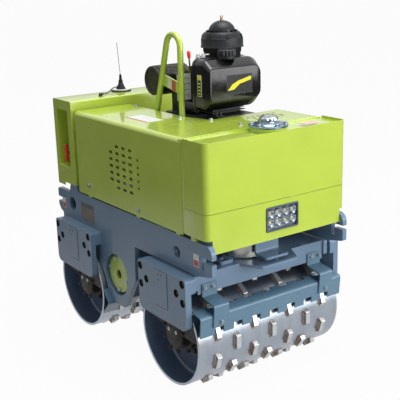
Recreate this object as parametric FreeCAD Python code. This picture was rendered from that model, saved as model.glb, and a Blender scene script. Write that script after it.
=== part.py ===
import FreeCAD, Part
import math
import os

from FreeCAD import Vector

# Trench roller: two padded drums under a chassis of two side plates, an engine
# standing up through the hood, and a front yoke that swivels on a slewing ring.
# Millimetres.  X is the width, the front faces -Y, Z is up, the drums stand on z = 0.

os.makedirs("parts", exist_ok=True)

# ---- driving dimensions ----------------------------------------------------

chassis_length = 1456.0
side_plate_thickness = 25.0
wheelbase = 868.0
front_overhang = 316.0

drum_length = 850.0
drum_radius = 236.7
drum_wall = 12.0
pad_height = 18.3
pad_width = 26.0
pad_top_length = 62.0
pad_base_length = 84.0
pad_row_count = 20

web_inset = 120.0
web_thickness = 14.0
hub_flange_radius = 122.0
hub_flange_thickness = 14.0
axle_radius = 60.0
running_clearance = 0.05
drum_past_chassis = 25.0
drum_to_leg_gap = 7.0

leg_half_length = 198.0
leg_plate_thickness = 30.0
leg_corner_radius = 34.0
leg_head_height = 87.0
leg_drop = 95.0

beam_half_depth = 172.0
beam_top_thickness = 20.0
beam_flange_thickness = 12.0
beam_flange_depth = 95.0

slewing_radius = 168.0
slewing_bore_radius = 120.0
slewing_rise = 78.0
swivel_plate_thickness = 20.0
chassis_box_height = 90.0
floor_thickness = 8.0
moving_gap = 6.0
plate_to_leg_gap = 7.0

hood_sheet = 3.0
hood_height = 431.6
hood_above_chassis = 10.0
hood_past_chassis = 4.5
hood_edge_radius = 22.0

cowl_length = 161.0
cowl_above_hood = 4.4
cowl_lower_height = 127.0
cowl_flap_drop = 43.5
cowl_lip = 12.0
cowl_corner_radius = 28.0
panel_gap = 2.0

rear_box_length = 203.0
rear_box_above_hood = 47.4
rear_box_overhang = 10.0

# ---- places that follow from them ------------------------------------------

front_tip_y = -chassis_length / 2
rear_tip_y = chassis_length / 2
front_axis_y = front_tip_y + front_overhang
rear_axis_y = front_axis_y + wheelbase
middle_y = (front_axis_y + rear_axis_y) / 2

pad_reach = drum_radius + pad_height
pad_corner_reach = math.hypot(pad_reach, pad_top_length / 2)
pad_pitch = drum_length / 8
axis_z = pad_reach
drum_top_z = axis_z + pad_reach
drum_half_length = drum_length / 2
shell_bore_radius = drum_radius - drum_wall
web_outer_x = drum_half_length - web_inset
hub_face_x = web_outer_x + hub_flange_thickness

chassis_half_width = drum_half_length - drum_past_chassis
side_inner_x = chassis_half_width - side_plate_thickness
leg_inner_x = chassis_half_width + plate_to_leg_gap + 1.0
leg_back_x = drum_half_length + drum_to_leg_gap
leg_outer_x = leg_back_x + leg_plate_thickness

leg_top_z = drum_top_z + leg_head_height
leg_bottom_z = axis_z + leg_drop
head_bottom_z = axis_z + pad_corner_reach + 15.0
beam_flange_z = leg_top_z - beam_flange_depth
beam_bottom_z = leg_top_z + plate_to_leg_gap
swivel_plate_z = leg_top_z + slewing_rise
chassis_top_z = swivel_plate_z + chassis_box_height

hood_half_width = chassis_half_width + hood_past_chassis
hood_bottom_z = chassis_top_z + hood_above_chassis
hood_top_z = hood_bottom_z + hood_height
cowl_top_z = hood_top_z + cowl_above_hood
cowl_seam_z = hood_bottom_z + cowl_lower_height
cowl_skirt_z = hood_bottom_z + 10.0
cowl_flap_z = chassis_top_z - cowl_flap_drop
rear_box_top_z = hood_top_z + rear_box_above_hood


# ---- helpers ---------------------------------------------------------------

def box(x0, x1, y0, y1, z0, z1):
    return Part.makeBox(x1 - x0, y1 - y0, z1 - z0, Vector(x0, y0, z0))


def cylinder_x(radius, x0, x1, y, z):
    return Part.makeCylinder(radius, x1 - x0, Vector(x0, y, z), Vector(1, 0, 0))


def cylinder_z(radius, z0, z1, x, y):
    return Part.makeCylinder(radius, z1 - z0, Vector(x, y, z0), Vector(0, 0, 1))


def ring_z(outer, inner, z0, z1, x, y):
    return cylinder_z(outer, z0, z1, x, y).cut(cylinder_z(inner, z0 - 1, z1 + 1, x, y))


def join(shapes):
    result = shapes[0]
    if len(shapes) > 1:
        result = shapes[0].fuse(shapes[1:])
    return result.removeSplitter()


def mirror_x(shape):
    return shape.mirror(Vector(0, 0, 0), Vector(1, 0, 0))


def both_sides(shape):
    return Part.makeCompound([shape, mirror_x(shape)])


def rounded_wire(corners, place):
    """Closed wire through (u, v, radius) corners; place turns (u, v) into a Vector."""
    count = len(corners)
    cuts = []
    for index in range(count):
        u, v, radius = corners[index]
        before = corners[index - 1]
        after = corners[(index + 1) % count]
        here = Vector(u, v, 0)
        to_before = (Vector(before[0], before[1], 0) - here).normalize()
        to_after = (Vector(after[0], after[1], 0) - here).normalize()
        if radius <= 0:
            cuts.append((here, None, here))
            continue
        half = to_before.getAngle(to_after) / 2
        reach = radius / math.tan(half)
        bisector = (to_before + to_after).normalize()
        centre = here + bisector * (radius / math.sin(half))
        middle = centre - bisector * radius
        cuts.append((here + to_before * reach, middle, here + to_after * reach))
    edges = []
    for index in range(count):
        start, middle, end = cuts[index]
        following = cuts[(index + 1) % count][0]
        if middle is not None:
            arc = Part.Arc(place(start), place(middle), place(end))
            edges.append(arc.toShape())
        if (following - end).Length > 1e-6:
            edges.append(Part.LineSegment(place(end), place(following)).toShape())
    return Part.Wire(edges)


def prism_x(corners, x0, x1):
    """Prism along X over (y, z, radius) corners."""
    wire = rounded_wire(corners, lambda p: Vector(x0, p.x, p.y))
    return Part.Face(wire).extrude(Vector(x1 - x0, 0, 0))


def prism_z(corners, z0, z1):
    """Prism along Z over (x, y, radius) corners."""
    wire = rounded_wire(corners, lambda p: Vector(p.x, p.y, z0))
    return Part.Face(wire).extrude(Vector(0, 0, z1 - z0))


def prism_y(corners, y0, y1):
    """Prism along Y over (x, z, radius) corners."""
    wire = rounded_wire(corners, lambda p: Vector(p.x, y0, p.y))
    return Part.Face(wire).extrude(Vector(0, y1 - y0, 0))


def rectangle(u0, u1, v0, v1, radius=0.0):
    return [(u0, v0, radius), (u1, v0, radius), (u1, v1, radius), (u0, v1, radius)]


def save(shape, node):
    shape.exportStep("parts/" + node + ".step")


# ---- drums -----------------------------------------------------------------

def pad(angle, x):
    """One pad: a low block with sloped ends, standing on the shell at an angle."""
    foot = drum_radius - drum_wall / 2
    half_base = pad_base_length / 2
    half_top = pad_top_length / 2
    block = prism_x(
        [(-half_base, foot, 0), (half_base, foot, 0), (half_top, pad_reach, 0), (-half_top, pad_reach, 0)],
        -pad_width / 2, pad_width / 2)
    block.rotate(Vector(0, 0, 0), Vector(1, 0, 0), angle)
    block.translate(Vector(x, 0, 0))
    return block


def drum(axis_y):
    shell = cylinder_x(drum_radius, -drum_half_length, drum_half_length, 0, 0)
    shell = shell.cut(cylinder_x(shell_bore_radius, -drum_half_length - 1, drum_half_length + 1, 0, 0))
    pieces = [shell]
    web = cylinder_x(shell_bore_radius + drum_wall / 2, web_outer_x - web_thickness, web_outer_x, 0, 0)
    flange = cylinder_x(hub_flange_radius, web_outer_x - 1, hub_face_x, 0, 0)
    bore = cylinder_x(axle_radius + running_clearance, 0, drum_half_length, 0, 0)
    web = web.fuse(flange).cut(bore)
    pieces.append(web)
    pieces.append(mirror_x(web))
    step = 360.0 / pad_row_count
    for row in range(pad_row_count):
        four = row % 2 == pad_row_count // 2 % 2
        places = (-3, -1, 1, 3) if four else (-2, 0, 2)
        for place in places:
            pieces.append(pad(row * step, place * pad_pitch))
    shape = join(pieces)
    shape.translate(Vector(0, axis_y, axis_z))
    return shape


save(drum(front_axis_y), "front_drum")
save(drum(rear_axis_y), "rear_drum")


# ---- chassis ---------------------------------------------------------------

lobe_front_y = middle_y - 100.0
lobe_bottom_z = axis_z - 17.0
lobe_bottom_front_y = middle_y + 18.0
lobe_slant_z = axis_z + 167.0
arch_radius = drum_radius + 8.0
hub_hole_radius = 110.0
hub_neck = 18.6
hub_bearing = 157.15
hub_reach = arch_radius + hub_neck + hub_hole_radius
hub_y = rear_axis_y + hub_reach * math.cos(math.radians(hub_bearing))
hub_z = axis_z + hub_reach * math.sin(math.radians(hub_bearing))
hub_cover_radius = 98.0
hub_cover_thickness = 12.0
hub_cover_bore = 24.0

hook_reach = 57.0
hook_slot_width = 20.0
front_hook_mouth = (swivel_plate_z + 10.0, swivel_plate_z + 30.0)
front_hook_slot = (swivel_plate_z - 32.0, swivel_plate_z + 39.0)
front_finger_bottom_z = swivel_plate_z - 46.0
rear_hook_mouth = (swivel_plate_z - 5.0, swivel_plate_z + 20.0)
rear_hook_slot = (swivel_plate_z - 39.0, swivel_plate_z + 33.0)
rear_finger_top_z = chassis_top_z - 19.0
rear_finger_bottom_z = swivel_plate_z - 55.0
rear_plate_edge_y = rear_tip_y - 48.0
rear_plate_bottom_z = axis_z + pad_corner_reach + 9.0
rear_post_y = (rear_axis_y + 36.0, rear_axis_y + 114.0)
rear_post_top_z = chassis_top_z + 36.0

# The lobe's rear edge follows the drum's shell, then the upper leg of the inner scraper.

inner_corner = (drum_radius + 57.3, -5.4)
inner_tips = ((drum_radius + 11.3, 9.5), (drum_radius + 11.3, -24.7))


def polar(reach, degrees):
    """Point beside a drum's axis, outward and up, for a drum at the origin."""
    angle = math.radians(degrees)
    return (reach * math.cos(angle), reach * math.sin(angle))


inner_corner_at = polar(*inner_corner)
inner_tip_at = polar(*inner_tips[0])
scraper_top_y = rear_axis_y - inner_tip_at[0]
scraper_top_z = axis_z + inner_tip_at[1]
scraper_slope = (inner_corner_at[0] - inner_tip_at[0]) / (inner_tip_at[1] - inner_corner_at[1])
scraper_low_y = scraper_top_y - (scraper_top_z - lobe_bottom_z) * scraper_slope

front_tie_hole = (front_axis_y - 46.0, swivel_plate_z + 3.0, 27.0)
rear_tie_hole = (rear_axis_y + 103.0, swivel_plate_z + 10.0, 37.0)


def hook_slot(tip_y, inward, mouth, slot):
    """Open T slot cut from a hook's tip: a mouth and a taller slot behind it."""
    deep = tip_y + inward * (hook_reach + hook_slot_width)
    near = tip_y + inward * hook_reach
    outside = tip_y - inward * 10
    throat = prism_x(rectangle(min(outside, deep), max(outside, deep), mouth[0], mouth[1]),
                     side_inner_x - 1, chassis_half_width + 1)
    tall = prism_x(rectangle(min(near, deep), max(near, deep), slot[0], slot[1], 7.0),
                   side_inner_x - 1, chassis_half_width + 1)
    return throat.fuse(tall)


def side_plate_outline():
    """Outer outline of a side plate, with the arch over the rear drum as a polygon gap."""
    return [
        (front_tip_y, front_finger_bottom_z, 10),
        (front_tip_y, chassis_top_z, 42),
        (rear_post_y[0], chassis_top_z, 6),
        (rear_post_y[0], rear_post_top_z, 8),
        (rear_post_y[1], rear_post_top_z, 8),
        (rear_post_y[1], chassis_top_z, 4),
        (rear_post_y[1] + 16, rear_finger_top_z, 6),
        (rear_tip_y, rear_finger_top_z, 16),
        (rear_tip_y, rear_finger_bottom_z + 26, 12),
        (rear_plate_edge_y + 26, rear_finger_bottom_z, 12),
        (rear_plate_edge_y, rear_finger_bottom_z - 8, 12),
        (rear_plate_edge_y, rear_plate_bottom_z, 16),
        (rear_axis_y, rear_plate_bottom_z, 0),
        (rear_axis_y, scraper_top_z, 0),
        (scraper_top_y, scraper_top_z, 0),
        (scraper_low_y, lobe_bottom_z, 0),
        (lobe_bottom_front_y, lobe_bottom_z, 26),
        (lobe_front_y, lobe_slant_z, 40),
        (lobe_front_y - 8, beam_bottom_z, 8),
        (front_tip_y + 128, beam_bottom_z, 30),
    ]


def side_plate():
    plate = prism_x(side_plate_outline(), side_inner_x, chassis_half_width)
    plate = plate.cut(cylinder_x(arch_radius, side_inner_x - 1, chassis_half_width + 1, rear_axis_y, axis_z))
    plate = plate.cut(hook_slot(front_tip_y, 1, front_hook_mouth, front_hook_slot))
    plate = plate.cut(hook_slot(rear_tip_y, -1, rear_hook_mouth, rear_hook_slot))
    for y, z, radius in (front_tie_hole, rear_tie_hole, (hub_y, hub_z, hub_hole_radius)):
        plate = plate.cut(cylinder_x(radius, side_inner_x - 1, chassis_half_width + 1, y, z))
    return plate.removeSplitter()


right_side = side_plate()
save(right_side, "side_plate_right")
save(mirror_x(right_side), "side_plate_left")

# Swivel plate between the side plates, with the upright cross plate that stiffens it.

swivel_plate_y = (front_axis_y - 175.0, front_axis_y + 215.0)
cross_plate_thickness = 12.0
swivel_plate = box(-side_inner_x, side_inner_x, swivel_plate_y[0], swivel_plate_y[1],
                   swivel_plate_z, swivel_plate_z + swivel_plate_thickness)
floor_z = chassis_top_z - floor_thickness
front_upright = box(-side_inner_x, side_inner_x, swivel_plate_y[0], swivel_plate_y[0] + cross_plate_thickness,
                    swivel_plate_z + swivel_plate_thickness, floor_z)
save(join([swivel_plate, front_upright]), "swivel_cross_member")

slewing_bottom_z = leg_top_z + moving_gap
save(ring_z(slewing_radius, slewing_bore_radius, slewing_bottom_z, swivel_plate_z, 0, front_axis_y),
     "slewing_ring_fixed")

# Floor plate that carries the engine, closed at the back by a cross plate.

rear_cross_y = rear_axis_y + beam_half_depth
floor_y = (swivel_plate_y[0], rear_cross_y)
floor = box(-side_inner_x, side_inner_x, floor_y[0], floor_y[1], floor_z, chassis_top_z)
rear_cross = box(-side_inner_x, side_inner_x, rear_cross_y - cross_plate_thickness, rear_cross_y,
                 beam_flange_z, floor_z)
save(join([floor, rear_cross]), "chassis_floor")

# Box between the lobes of the side plates: an open tube along X with an end plate
# on each side, against which the round hub covers are seated.

box_y = (middle_y - 17.0, rear_axis_y - pad_corner_reach - 14.0)
box_bottom_z = axis_z + 57.0
box_wall = 10.0
cover_seat_x = side_inner_x - 2.0


def centre_box():
    outer = box(-side_inner_x, side_inner_x, box_y[0], box_y[1], box_bottom_z, floor_z)
    inner = box(-cover_seat_x + box_wall, cover_seat_x - box_wall, box_y[0] + box_wall, box_y[1] - box_wall,
                box_bottom_z + box_wall, floor_z - box_wall)
    shape = outer.cut(inner)
    for side in (-1, 1):
        seat = cylinder_x(hub_hole_radius, min(side * cover_seat_x, side * (side_inner_x + 1)),
                          max(side * cover_seat_x, side * (side_inner_x + 1)), hub_y, hub_z)
        bore = cylinder_x(hub_cover_bore, min(side * (cover_seat_x - 2 * box_wall), side * side_inner_x),
                          max(side * (cover_seat_x - 2 * box_wall), side * side_inner_x), hub_y, hub_z)
        shape = shape.cut(seat).cut(bore)
    return shape


save(centre_box(), "centre_box")

hub_cover = cylinder_x(hub_cover_radius, cover_seat_x, cover_seat_x + hub_cover_thickness,
                       hub_y, hub_z)
hub_cover = hub_cover.cut(cylinder_x(hub_cover_bore, cover_seat_x - 1, chassis_half_width,
                                     hub_y, hub_z))
save(both_sides(hub_cover), "hub_covers")

# Transport lock: an angle bracket on the chassis over a tongue on the yoke.

lock_hole = (33.0, front_axis_y - 244.0, 11.0)
lock_bracket_x = (-56.0, 82.0)
lock_bracket_thickness = 12.0
lock_bracket_z = leg_top_z + 31.0
lock_bracket_front_y = front_axis_y - 266.0
lock_bracket_bend = 26.0


def lock_bracket():
    """Angle bracket: an upright against the swivel plate's edge and a shelf with a hole."""
    front_y = lock_bracket_front_y
    back_y = swivel_plate_y[0]
    top_z = swivel_plate_z + swivel_plate_thickness + 20
    sheet = lock_bracket_thickness
    section = [
        (front_y, lock_bracket_z - sheet, 0), (back_y, lock_bracket_z - sheet, lock_bracket_bend),
        (back_y, top_z, 0), (back_y - sheet, top_z, 0),
        (back_y - sheet, lock_bracket_z, lock_bracket_bend - sheet), (front_y, lock_bracket_z, 0)]
    shape = prism_x(section, lock_bracket_x[0], lock_bracket_x[1])
    outline = prism_z(
        [(lock_bracket_x[0], back_y + 1, 0), (lock_bracket_x[0], front_y, 16),
         (lock_bracket_x[1], front_y, 16), (lock_bracket_x[1], back_y + 1, 0)],
        lock_bracket_z - sheet - 1, top_z + 1)
    hole = cylinder_z(lock_hole[2], lock_bracket_z - sheet - 1, lock_bracket_z + 1, lock_hole[0], lock_hole[1])
    return shape.common(outline).cut(hole)


save(lock_bracket(), "lock_bracket")

# ---- legs, drives and hubs --------------------------------------------------


def leg(axis_y, inner_x):
    """Outer leg: a thick head above the drum and a thinner plate outside its end."""
    face = [
        (axis_y - leg_half_length, leg_bottom_z, leg_corner_radius),
        (axis_y + leg_half_length, leg_bottom_z, leg_corner_radius),
        (axis_y + leg_half_length, leg_top_z, leg_corner_radius / 2),
        (axis_y - leg_half_length, leg_top_z, leg_corner_radius / 2),
    ]
    plate = prism_x(face, leg_back_x, leg_outer_x)
    head = [
        (axis_y - leg_half_length, head_bottom_z, 0),
        (axis_y + leg_half_length, head_bottom_z, 0),
        (axis_y + leg_half_length, leg_top_z, leg_corner_radius / 2),
        (axis_y - leg_half_length, leg_top_z, leg_corner_radius / 2),
    ]
    return join([plate, prism_x(head, inner_x, leg_outer_x)])


drive_plate_x = (drum_half_length - 37.0, drum_half_length - 25.0)
drive_plate_reach = shell_bore_radius - 14.0
drive_plate_angles = (35.0, 65.0)
drive_plate_rear_bottom = (0.88, 177.0)
drive_plate_front_bottom = (0.94, 10.0)
spacer_half_width = 90.0
spacer_inset = 6.0
stub_beyond_web = 12.0
motor_radius = 70.0
motor_flange_radius = 88.0
motor_flange_length = 27.0
motor_gap = 6.0


def drive(axis_y):
    """Plate inside the drum's end, spaced off the leg, with the wheel motor and stub axle."""
    plate_inner_x, plate_outer_x = drive_plate_x
    low_y, low_z = polar(drive_plate_reach, drive_plate_angles[0])
    high_y, high_z = polar(drive_plate_reach, drive_plate_angles[1])
    rear_bottom = polar(drive_plate_rear_bottom[0] * drive_plate_reach, drive_plate_rear_bottom[1])
    front_bottom = polar(drive_plate_front_bottom[0] * drive_plate_reach, drive_plate_front_bottom[1])
    outline = [
        (rear_bottom[0], rear_bottom[1], 12), (front_bottom[0], front_bottom[1], 12), (low_y, low_z, 30),
        (high_y, high_z, 30), (-high_y, high_z, 30), (-low_y, low_z, 30)]
    plate = prism_x(outline, plate_inner_x, plate_outer_x)
    spacer = box(plate_outer_x, leg_back_x, -spacer_half_width, spacer_half_width,
                 leg_bottom_z - axis_z + spacer_inset, high_z - spacer_inset)
    seat_x = hub_face_x + motor_gap
    flange = cylinder_x(motor_flange_radius, seat_x, seat_x + motor_flange_length, 0, 0)
    body = cylinder_x(motor_radius, seat_x, plate_outer_x, 0, 0)
    stub = cylinder_x(axle_radius, web_outer_x - web_thickness - stub_beyond_web, seat_x + 1, 0, 0)
    shape = join([plate, spacer, flange, body, stub])
    shape.translate(Vector(0, axis_y, axis_z))
    return shape


save(both_sides(leg(rear_axis_y, chassis_half_width)), "rear_legs")
save(both_sides(leg(front_axis_y, leg_inner_x)), "front_legs")
save(both_sides(drive(rear_axis_y)), "rear_drives")
save(both_sides(drive(front_axis_y)), "front_drives")

# ---- yoke -------------------------------------------------------------------

yoke_plate_outer_x = chassis_half_width + 2.0
yoke_plate_inner_x = yoke_plate_outer_x - 24.0


def yoke_beam():
    top = box(-yoke_plate_inner_x, yoke_plate_inner_x, front_axis_y - beam_half_depth,
              front_axis_y + beam_half_depth, leg_top_z - beam_top_thickness, leg_top_z)
    pieces = [top]
    for side in (-1, 1):
        face = front_axis_y + side * beam_half_depth
        inner = face - side * beam_flange_thickness
        pieces.append(box(-yoke_plate_inner_x, yoke_plate_inner_x, min(face, inner), max(face, inner),
                          beam_flange_z, leg_top_z - beam_top_thickness))
    plate = prism_x(
        [(front_axis_y - leg_half_length + 14, head_bottom_z, 0),
         (front_axis_y + leg_half_length - 14, head_bottom_z, 0),
         (front_axis_y + leg_half_length - 14, leg_top_z, 12),
         (front_axis_y - leg_half_length + 14, leg_top_z, 12)],
        yoke_plate_inner_x, yoke_plate_outer_x)
    spacer = box(yoke_plate_outer_x, leg_inner_x, front_axis_y - beam_half_depth + 40,
                 front_axis_y + beam_half_depth - 40, head_bottom_z + 14, leg_top_z - 14)
    for piece in (plate, spacer):
        pieces.append(piece)
        pieces.append(mirror_x(piece))
    return join(pieces)


save(yoke_beam(), "yoke_beam")

# Inner slewing ring: a drum on the yoke's top plate that turns in the fixed ring.

slewing_play = 0.05
save(ring_z(slewing_bore_radius - slewing_play, slewing_bore_radius - 34, leg_top_z,
            swivel_plate_z - moving_gap, 0, front_axis_y), "slewing_ring_turning")

tongue_thickness = 13.0
tongue_centre_x = 18.0
tongue_root_half_width = 158.0
tongue_tip_half_width = 104.0
tongue_root_y = front_axis_y - beam_half_depth
tongue_front_y = front_axis_y - 278.0
tongue = prism_z(
    [(tongue_centre_x - tongue_root_half_width, tongue_root_y, 0),
     (tongue_centre_x - tongue_tip_half_width, tongue_front_y, 22),
     (tongue_centre_x + tongue_tip_half_width, tongue_front_y, 22),
     (tongue_centre_x + tongue_root_half_width, tongue_root_y, 0)],
    leg_top_z - tongue_thickness, leg_top_z)
tongue = tongue.cut(cylinder_z(lock_hole[2], leg_top_z - tongue_thickness - 1, leg_top_z + 1,
                               lock_hole[0], lock_hole[1]))
save(tongue, "lock_tongue")

# ---- scrapers ---------------------------------------------------------------

scraper_thickness = 6.0
scraper_bend = 14.0
notch_width = 49.0
notch_reach = pad_corner_reach + 16.0
outer_corner = (drum_radius + 73.3, 33.7)
outer_tips = ((drum_radius + 25.3, 45.0), (drum_radius + 23.3, 16.4))


def bent_plate(first, corner, last, thickness, bend):
    """Corners of an L-shaped strip whose outer side runs first, corner, last."""
    outline = []
    one = Vector(first[0] - corner[0], first[1] - corner[1], 0).normalize()
    two = Vector(last[0] - corner[0], last[1] - corner[1], 0).normalize()
    turn = one.cross(two).z
    sign = 1 if turn > 0 else -1
    normal_one = Vector(-one.y, one.x, 0) * sign
    normal_two = Vector(two.y, -two.x, 0) * sign
    half = one.getAngle(two) / 2
    inner = Vector(corner[0], corner[1], 0) + (one + two).normalize() * (thickness / math.sin(half))
    a = Vector(first[0], first[1], 0) + normal_one * thickness
    b = Vector(last[0], last[1], 0) + normal_two * thickness
    outline.append((first[0], first[1], 0))
    outline.append((corner[0], corner[1], bend))
    outline.append((last[0], last[1], 0))
    outline.append((b.x, b.y, 0))
    outline.append((inner.x, inner.y, bend - thickness))
    outline.append((a.x, a.y, 0))
    return outline


def scraper(corner, tips):
    """L-shaped scraper over a drum at the origin, on its +Y side, notched for the pads."""
    outline = bent_plate(polar(*tips[0]), polar(*corner), polar(*tips[1]), scraper_thickness, scraper_bend)
    plate = prism_x(outline, -drum_half_length, drum_half_length)
    for place in range(-3, 4):
        x = place * pad_pitch
        notch = cylinder_x(notch_reach, x - notch_width / 2, x + notch_width / 2, 0, 0)
        plate = plate.cut(notch)
    return plate.removeSplitter()


def placed(shape, axis_y, facing):
    """Move a shape made over a drum at the origin to its drum, facing -Y or +Y."""
    result = shape.copy()
    if facing < 0:
        result = result.mirror(Vector(0, 0, 0), Vector(0, 1, 0))
    result.translate(Vector(0, axis_y, axis_z))
    return result


bracket_x = (yoke_plate_inner_x - 103.0, yoke_plate_inner_x - 19.0)
bracket_sheet = 8.0
bracket_bend = 12.0
outer_corner_at = polar(*outer_corner)
outer_low_tip_at = polar(*outer_tips[1])
bracket_flange_top = leg_top_z - 49.0 - axis_z
bracket_flange_bottom = beam_flange_z - 12.0 - axis_z
bracket_knee = outer_corner_at[1] + 46.0
bracket_bottom = outer_corner_at[1] - 61.0
bracket_play = 0.3


def scraper_face(height):
    """Distance from the axis of the plane of the outer scraper's lower leg at a height."""
    share = (outer_corner_at[1] - height) / (outer_corner_at[1] - outer_low_tip_at[1])
    return outer_corner_at[0] + share * (outer_low_tip_at[0] - outer_corner_at[0])


def z_bracket(seat):
    """Bracket that hangs an outer scraper: flange on the seat, shelf, then face plate."""
    sheet = bracket_sheet
    knee = scraper_face(bracket_knee) + bracket_play
    bottom = scraper_face(bracket_bottom) + bracket_play
    outline = [
        (seat, bracket_flange_top, 0),
        (seat + sheet, bracket_flange_top, 0),
        (seat + sheet, bracket_flange_bottom, 3),
        (knee + sheet, bracket_knee, bracket_bend),
        (bottom + sheet, bracket_bottom, 0),
        (bottom, bracket_bottom, 0),
        (knee, bracket_knee - sheet, bracket_bend - sheet + 1),
        (seat, bracket_flange_bottom - sheet, 3 + sheet),
    ]
    return prism_x(outline, bracket_x[0], bracket_x[1])


outer_scraper = scraper(outer_corner, outer_tips)
inner_scraper = scraper(inner_corner, inner_tips)
brackets = both_sides(z_bracket(beam_half_depth))
save(placed(outer_scraper, front_axis_y, -1), "front_outer_scraper")
save(placed(outer_scraper, rear_axis_y, 1), "rear_outer_scraper")
save(placed(brackets, front_axis_y, -1), "front_scraper_brackets")
save(placed(brackets, rear_axis_y, 1), "rear_scraper_brackets")

# The rear inner scraper hangs on two ribs from the bottom of the centre box.

rib_x = (2.375 * pad_pitch - 6.0, 2.375 * pad_pitch + 6.0)
rib_root_width = 36.0


def along_upper_leg(share):
    """Point on the outer side of the inner scraper's upper leg, from its corner to its tip."""
    return (inner_corner_at[0] + share * (inner_tip_at[0] - inner_corner_at[0]),
            inner_corner_at[1] + share * (inner_tip_at[1] - inner_corner_at[1]))


rib_low = along_upper_leg(0.12)
rib_high = along_upper_leg(0.80)
rib_root = rear_axis_y - box_y[1]
rib = prism_x(
    [(rib_root, box_bottom_z - axis_z, 0), (rib_root + rib_root_width, box_bottom_z - axis_z, 0),
     (rib_low[0], rib_low[1], 0), (rib_high[0], rib_high[1], 0)],
    rib_x[0], rib_x[1])
save(placed(join([inner_scraper, rib, mirror_x(rib)]), rear_axis_y, -1), "rear_inner_scraper")

# ---- steering ram -----------------------------------------------------------

ram_z = leg_top_z + 33.0
ram_barrel_radius = 26.0
ram_bore_radius = 18.0
ram_rod_radius = 13.0
ram_pin_radius = 11.0
ram_eye_radius = 30.0
ram_eye_bore = 21.0
ram_eye_half_height = 12.0
barrel_eye_radius = 22.0
barrel_neck_half_width = 16.0
barrel_length = 210.0
barrel_bore_start = 36.0
gland_length = 15.0
piston_place = 116.0
ram_root = Vector(0, box_y[0] - 45.0, ram_z)
ram_end = Vector(-195.0, front_axis_y + 126.0, ram_z)
ram_span = (ram_end - ram_root).Length
ram_turn = math.degrees(math.atan2(ram_end.y - ram_root.y, ram_end.x - ram_root.x))


def ram_placed(shape):
    """Turn a ram piece made along +X from the origin to lie from its root to its end."""
    result = shape.copy()
    result.rotate(Vector(0, 0, 0), Vector(0, 0, 1), ram_turn)
    result.translate(ram_root)
    return result


def ram_barrel():
    eye = cylinder_z(barrel_eye_radius, -ram_eye_half_height, ram_eye_half_height, 0, 0)
    neck = box(0, barrel_eye_radius + 8, -barrel_neck_half_width, barrel_neck_half_width,
               -ram_eye_half_height, ram_eye_half_height)
    tube = cylinder_x(ram_barrel_radius, barrel_eye_radius + 6, barrel_length, 0, 0)
    shape = eye.fuse([neck, tube])
    shape = shape.cut(cylinder_x(ram_bore_radius, barrel_bore_start, barrel_length - gland_length, 0, 0))
    rod_hole = cylinder_x(ram_rod_radius + running_clearance, barrel_bore_start, barrel_length + 1, 0, 0)
    shape = shape.cut(rod_hole)
    shape = shape.cut(cylinder_z(ram_pin_radius + running_clearance, -40, 40, 0, 0))
    return shape.removeSplitter()


def ram_rod():
    piston = cylinder_x(ram_bore_radius - 2 * running_clearance, piston_place - 4, piston_place + 4, 0, 0)
    rod = cylinder_x(ram_rod_radius, piston_place, ram_span - ram_eye_radius + 4, 0, 0)
    eye = cylinder_z(ram_eye_radius, -ram_eye_half_height, ram_eye_half_height, ram_span, 0)
    shape = piston.fuse([rod, eye])
    shape = shape.cut(cylinder_z(ram_eye_bore, -40, 40, ram_span, 0))
    return shape.removeSplitter()


save(ram_placed(ram_barrel()), "ram_barrel")
save(ram_placed(ram_rod()), "ram_rod")

# Clevis on the centre box for the barrel, and the pin boss on the yoke for the rod.

clevis_gap = ram_eye_half_height + 1.0
clevis_thickness = 12.0


def ram_clevis():
    pieces = [cylinder_z(ram_pin_radius, ram_z - clevis_gap - clevis_thickness,
                         ram_z + clevis_gap + clevis_thickness, ram_root.x, ram_root.y)]
    for low_z in (ram_z - clevis_gap - clevis_thickness, ram_z + clevis_gap):
        pieces.append(cylinder_z(barrel_eye_radius, low_z, low_z + clevis_thickness, ram_root.x, ram_root.y))
        pieces.append(box(ram_root.x - barrel_eye_radius, ram_root.x + barrel_eye_radius,
                          ram_root.y, box_y[0], low_z, low_z + clevis_thickness))
    return join(pieces)


save(ram_clevis(), "ram_clevis")

ram_boss = cylinder_z(ram_eye_radius, leg_top_z, ram_z - ram_eye_half_height - 1, ram_end.x, ram_end.y)
ram_pin = cylinder_z(ram_pin_radius, leg_top_z, ram_z + ram_eye_half_height + 8, ram_end.x, ram_end.y)
save(join([ram_boss, ram_pin]), "ram_pin_boss")

# Lug with an open hole on the yoke, beside the slewing ring.

lug_x = (-226.0, -150.0)
lug_y = (front_axis_y - 146.0, front_axis_y - 84.0)
lug_thickness = 18.0
lug_hole_radius = 12.0
lug = prism_z(rectangle(lug_x[0], lug_x[1], lug_y[0], lug_y[1], 16.0), leg_top_z, leg_top_z + lug_thickness)
lug = lug.cut(cylinder_z(lug_hole_radius, leg_top_z - 1, leg_top_z + 40, (lug_x[0] + lug_x[1]) / 2,
                         (lug_y[0] + lug_y[1]) / 2))
save(lug, "yoke_lug")

# ---- hood -------------------------------------------------------------------

hood_front_y = front_tip_y + 25.0
side_cover_y = (hood_front_y + cowl_length + 20.0, rear_axis_y)
deck_edge_x = -78.0
deck_step_x = -32.0
deck_front_y = -243.0
deck_step_y = -100.0
right_sill_z = hood_top_z - 76.6
right_post_y = side_cover_y[1] - 126.0
centre_seam = 1.0
sheet_inner_x = hood_half_width - hood_sheet


def cover_section(seam_x):
    """L section in (x, z) of a side cover whose top runs from seam_x to the side."""
    outer = hood_half_width
    inner = sheet_inner_x
    return [
        (seam_x, hood_top_z, 0), (outer, hood_top_z, hood_edge_radius), (outer, hood_bottom_z, 0),
        (inner, hood_bottom_z, 0), (inner, hood_top_z - hood_sheet, hood_edge_radius - hood_sheet),
        (seam_x, hood_top_z - hood_sheet, 0),
    ]


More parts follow.
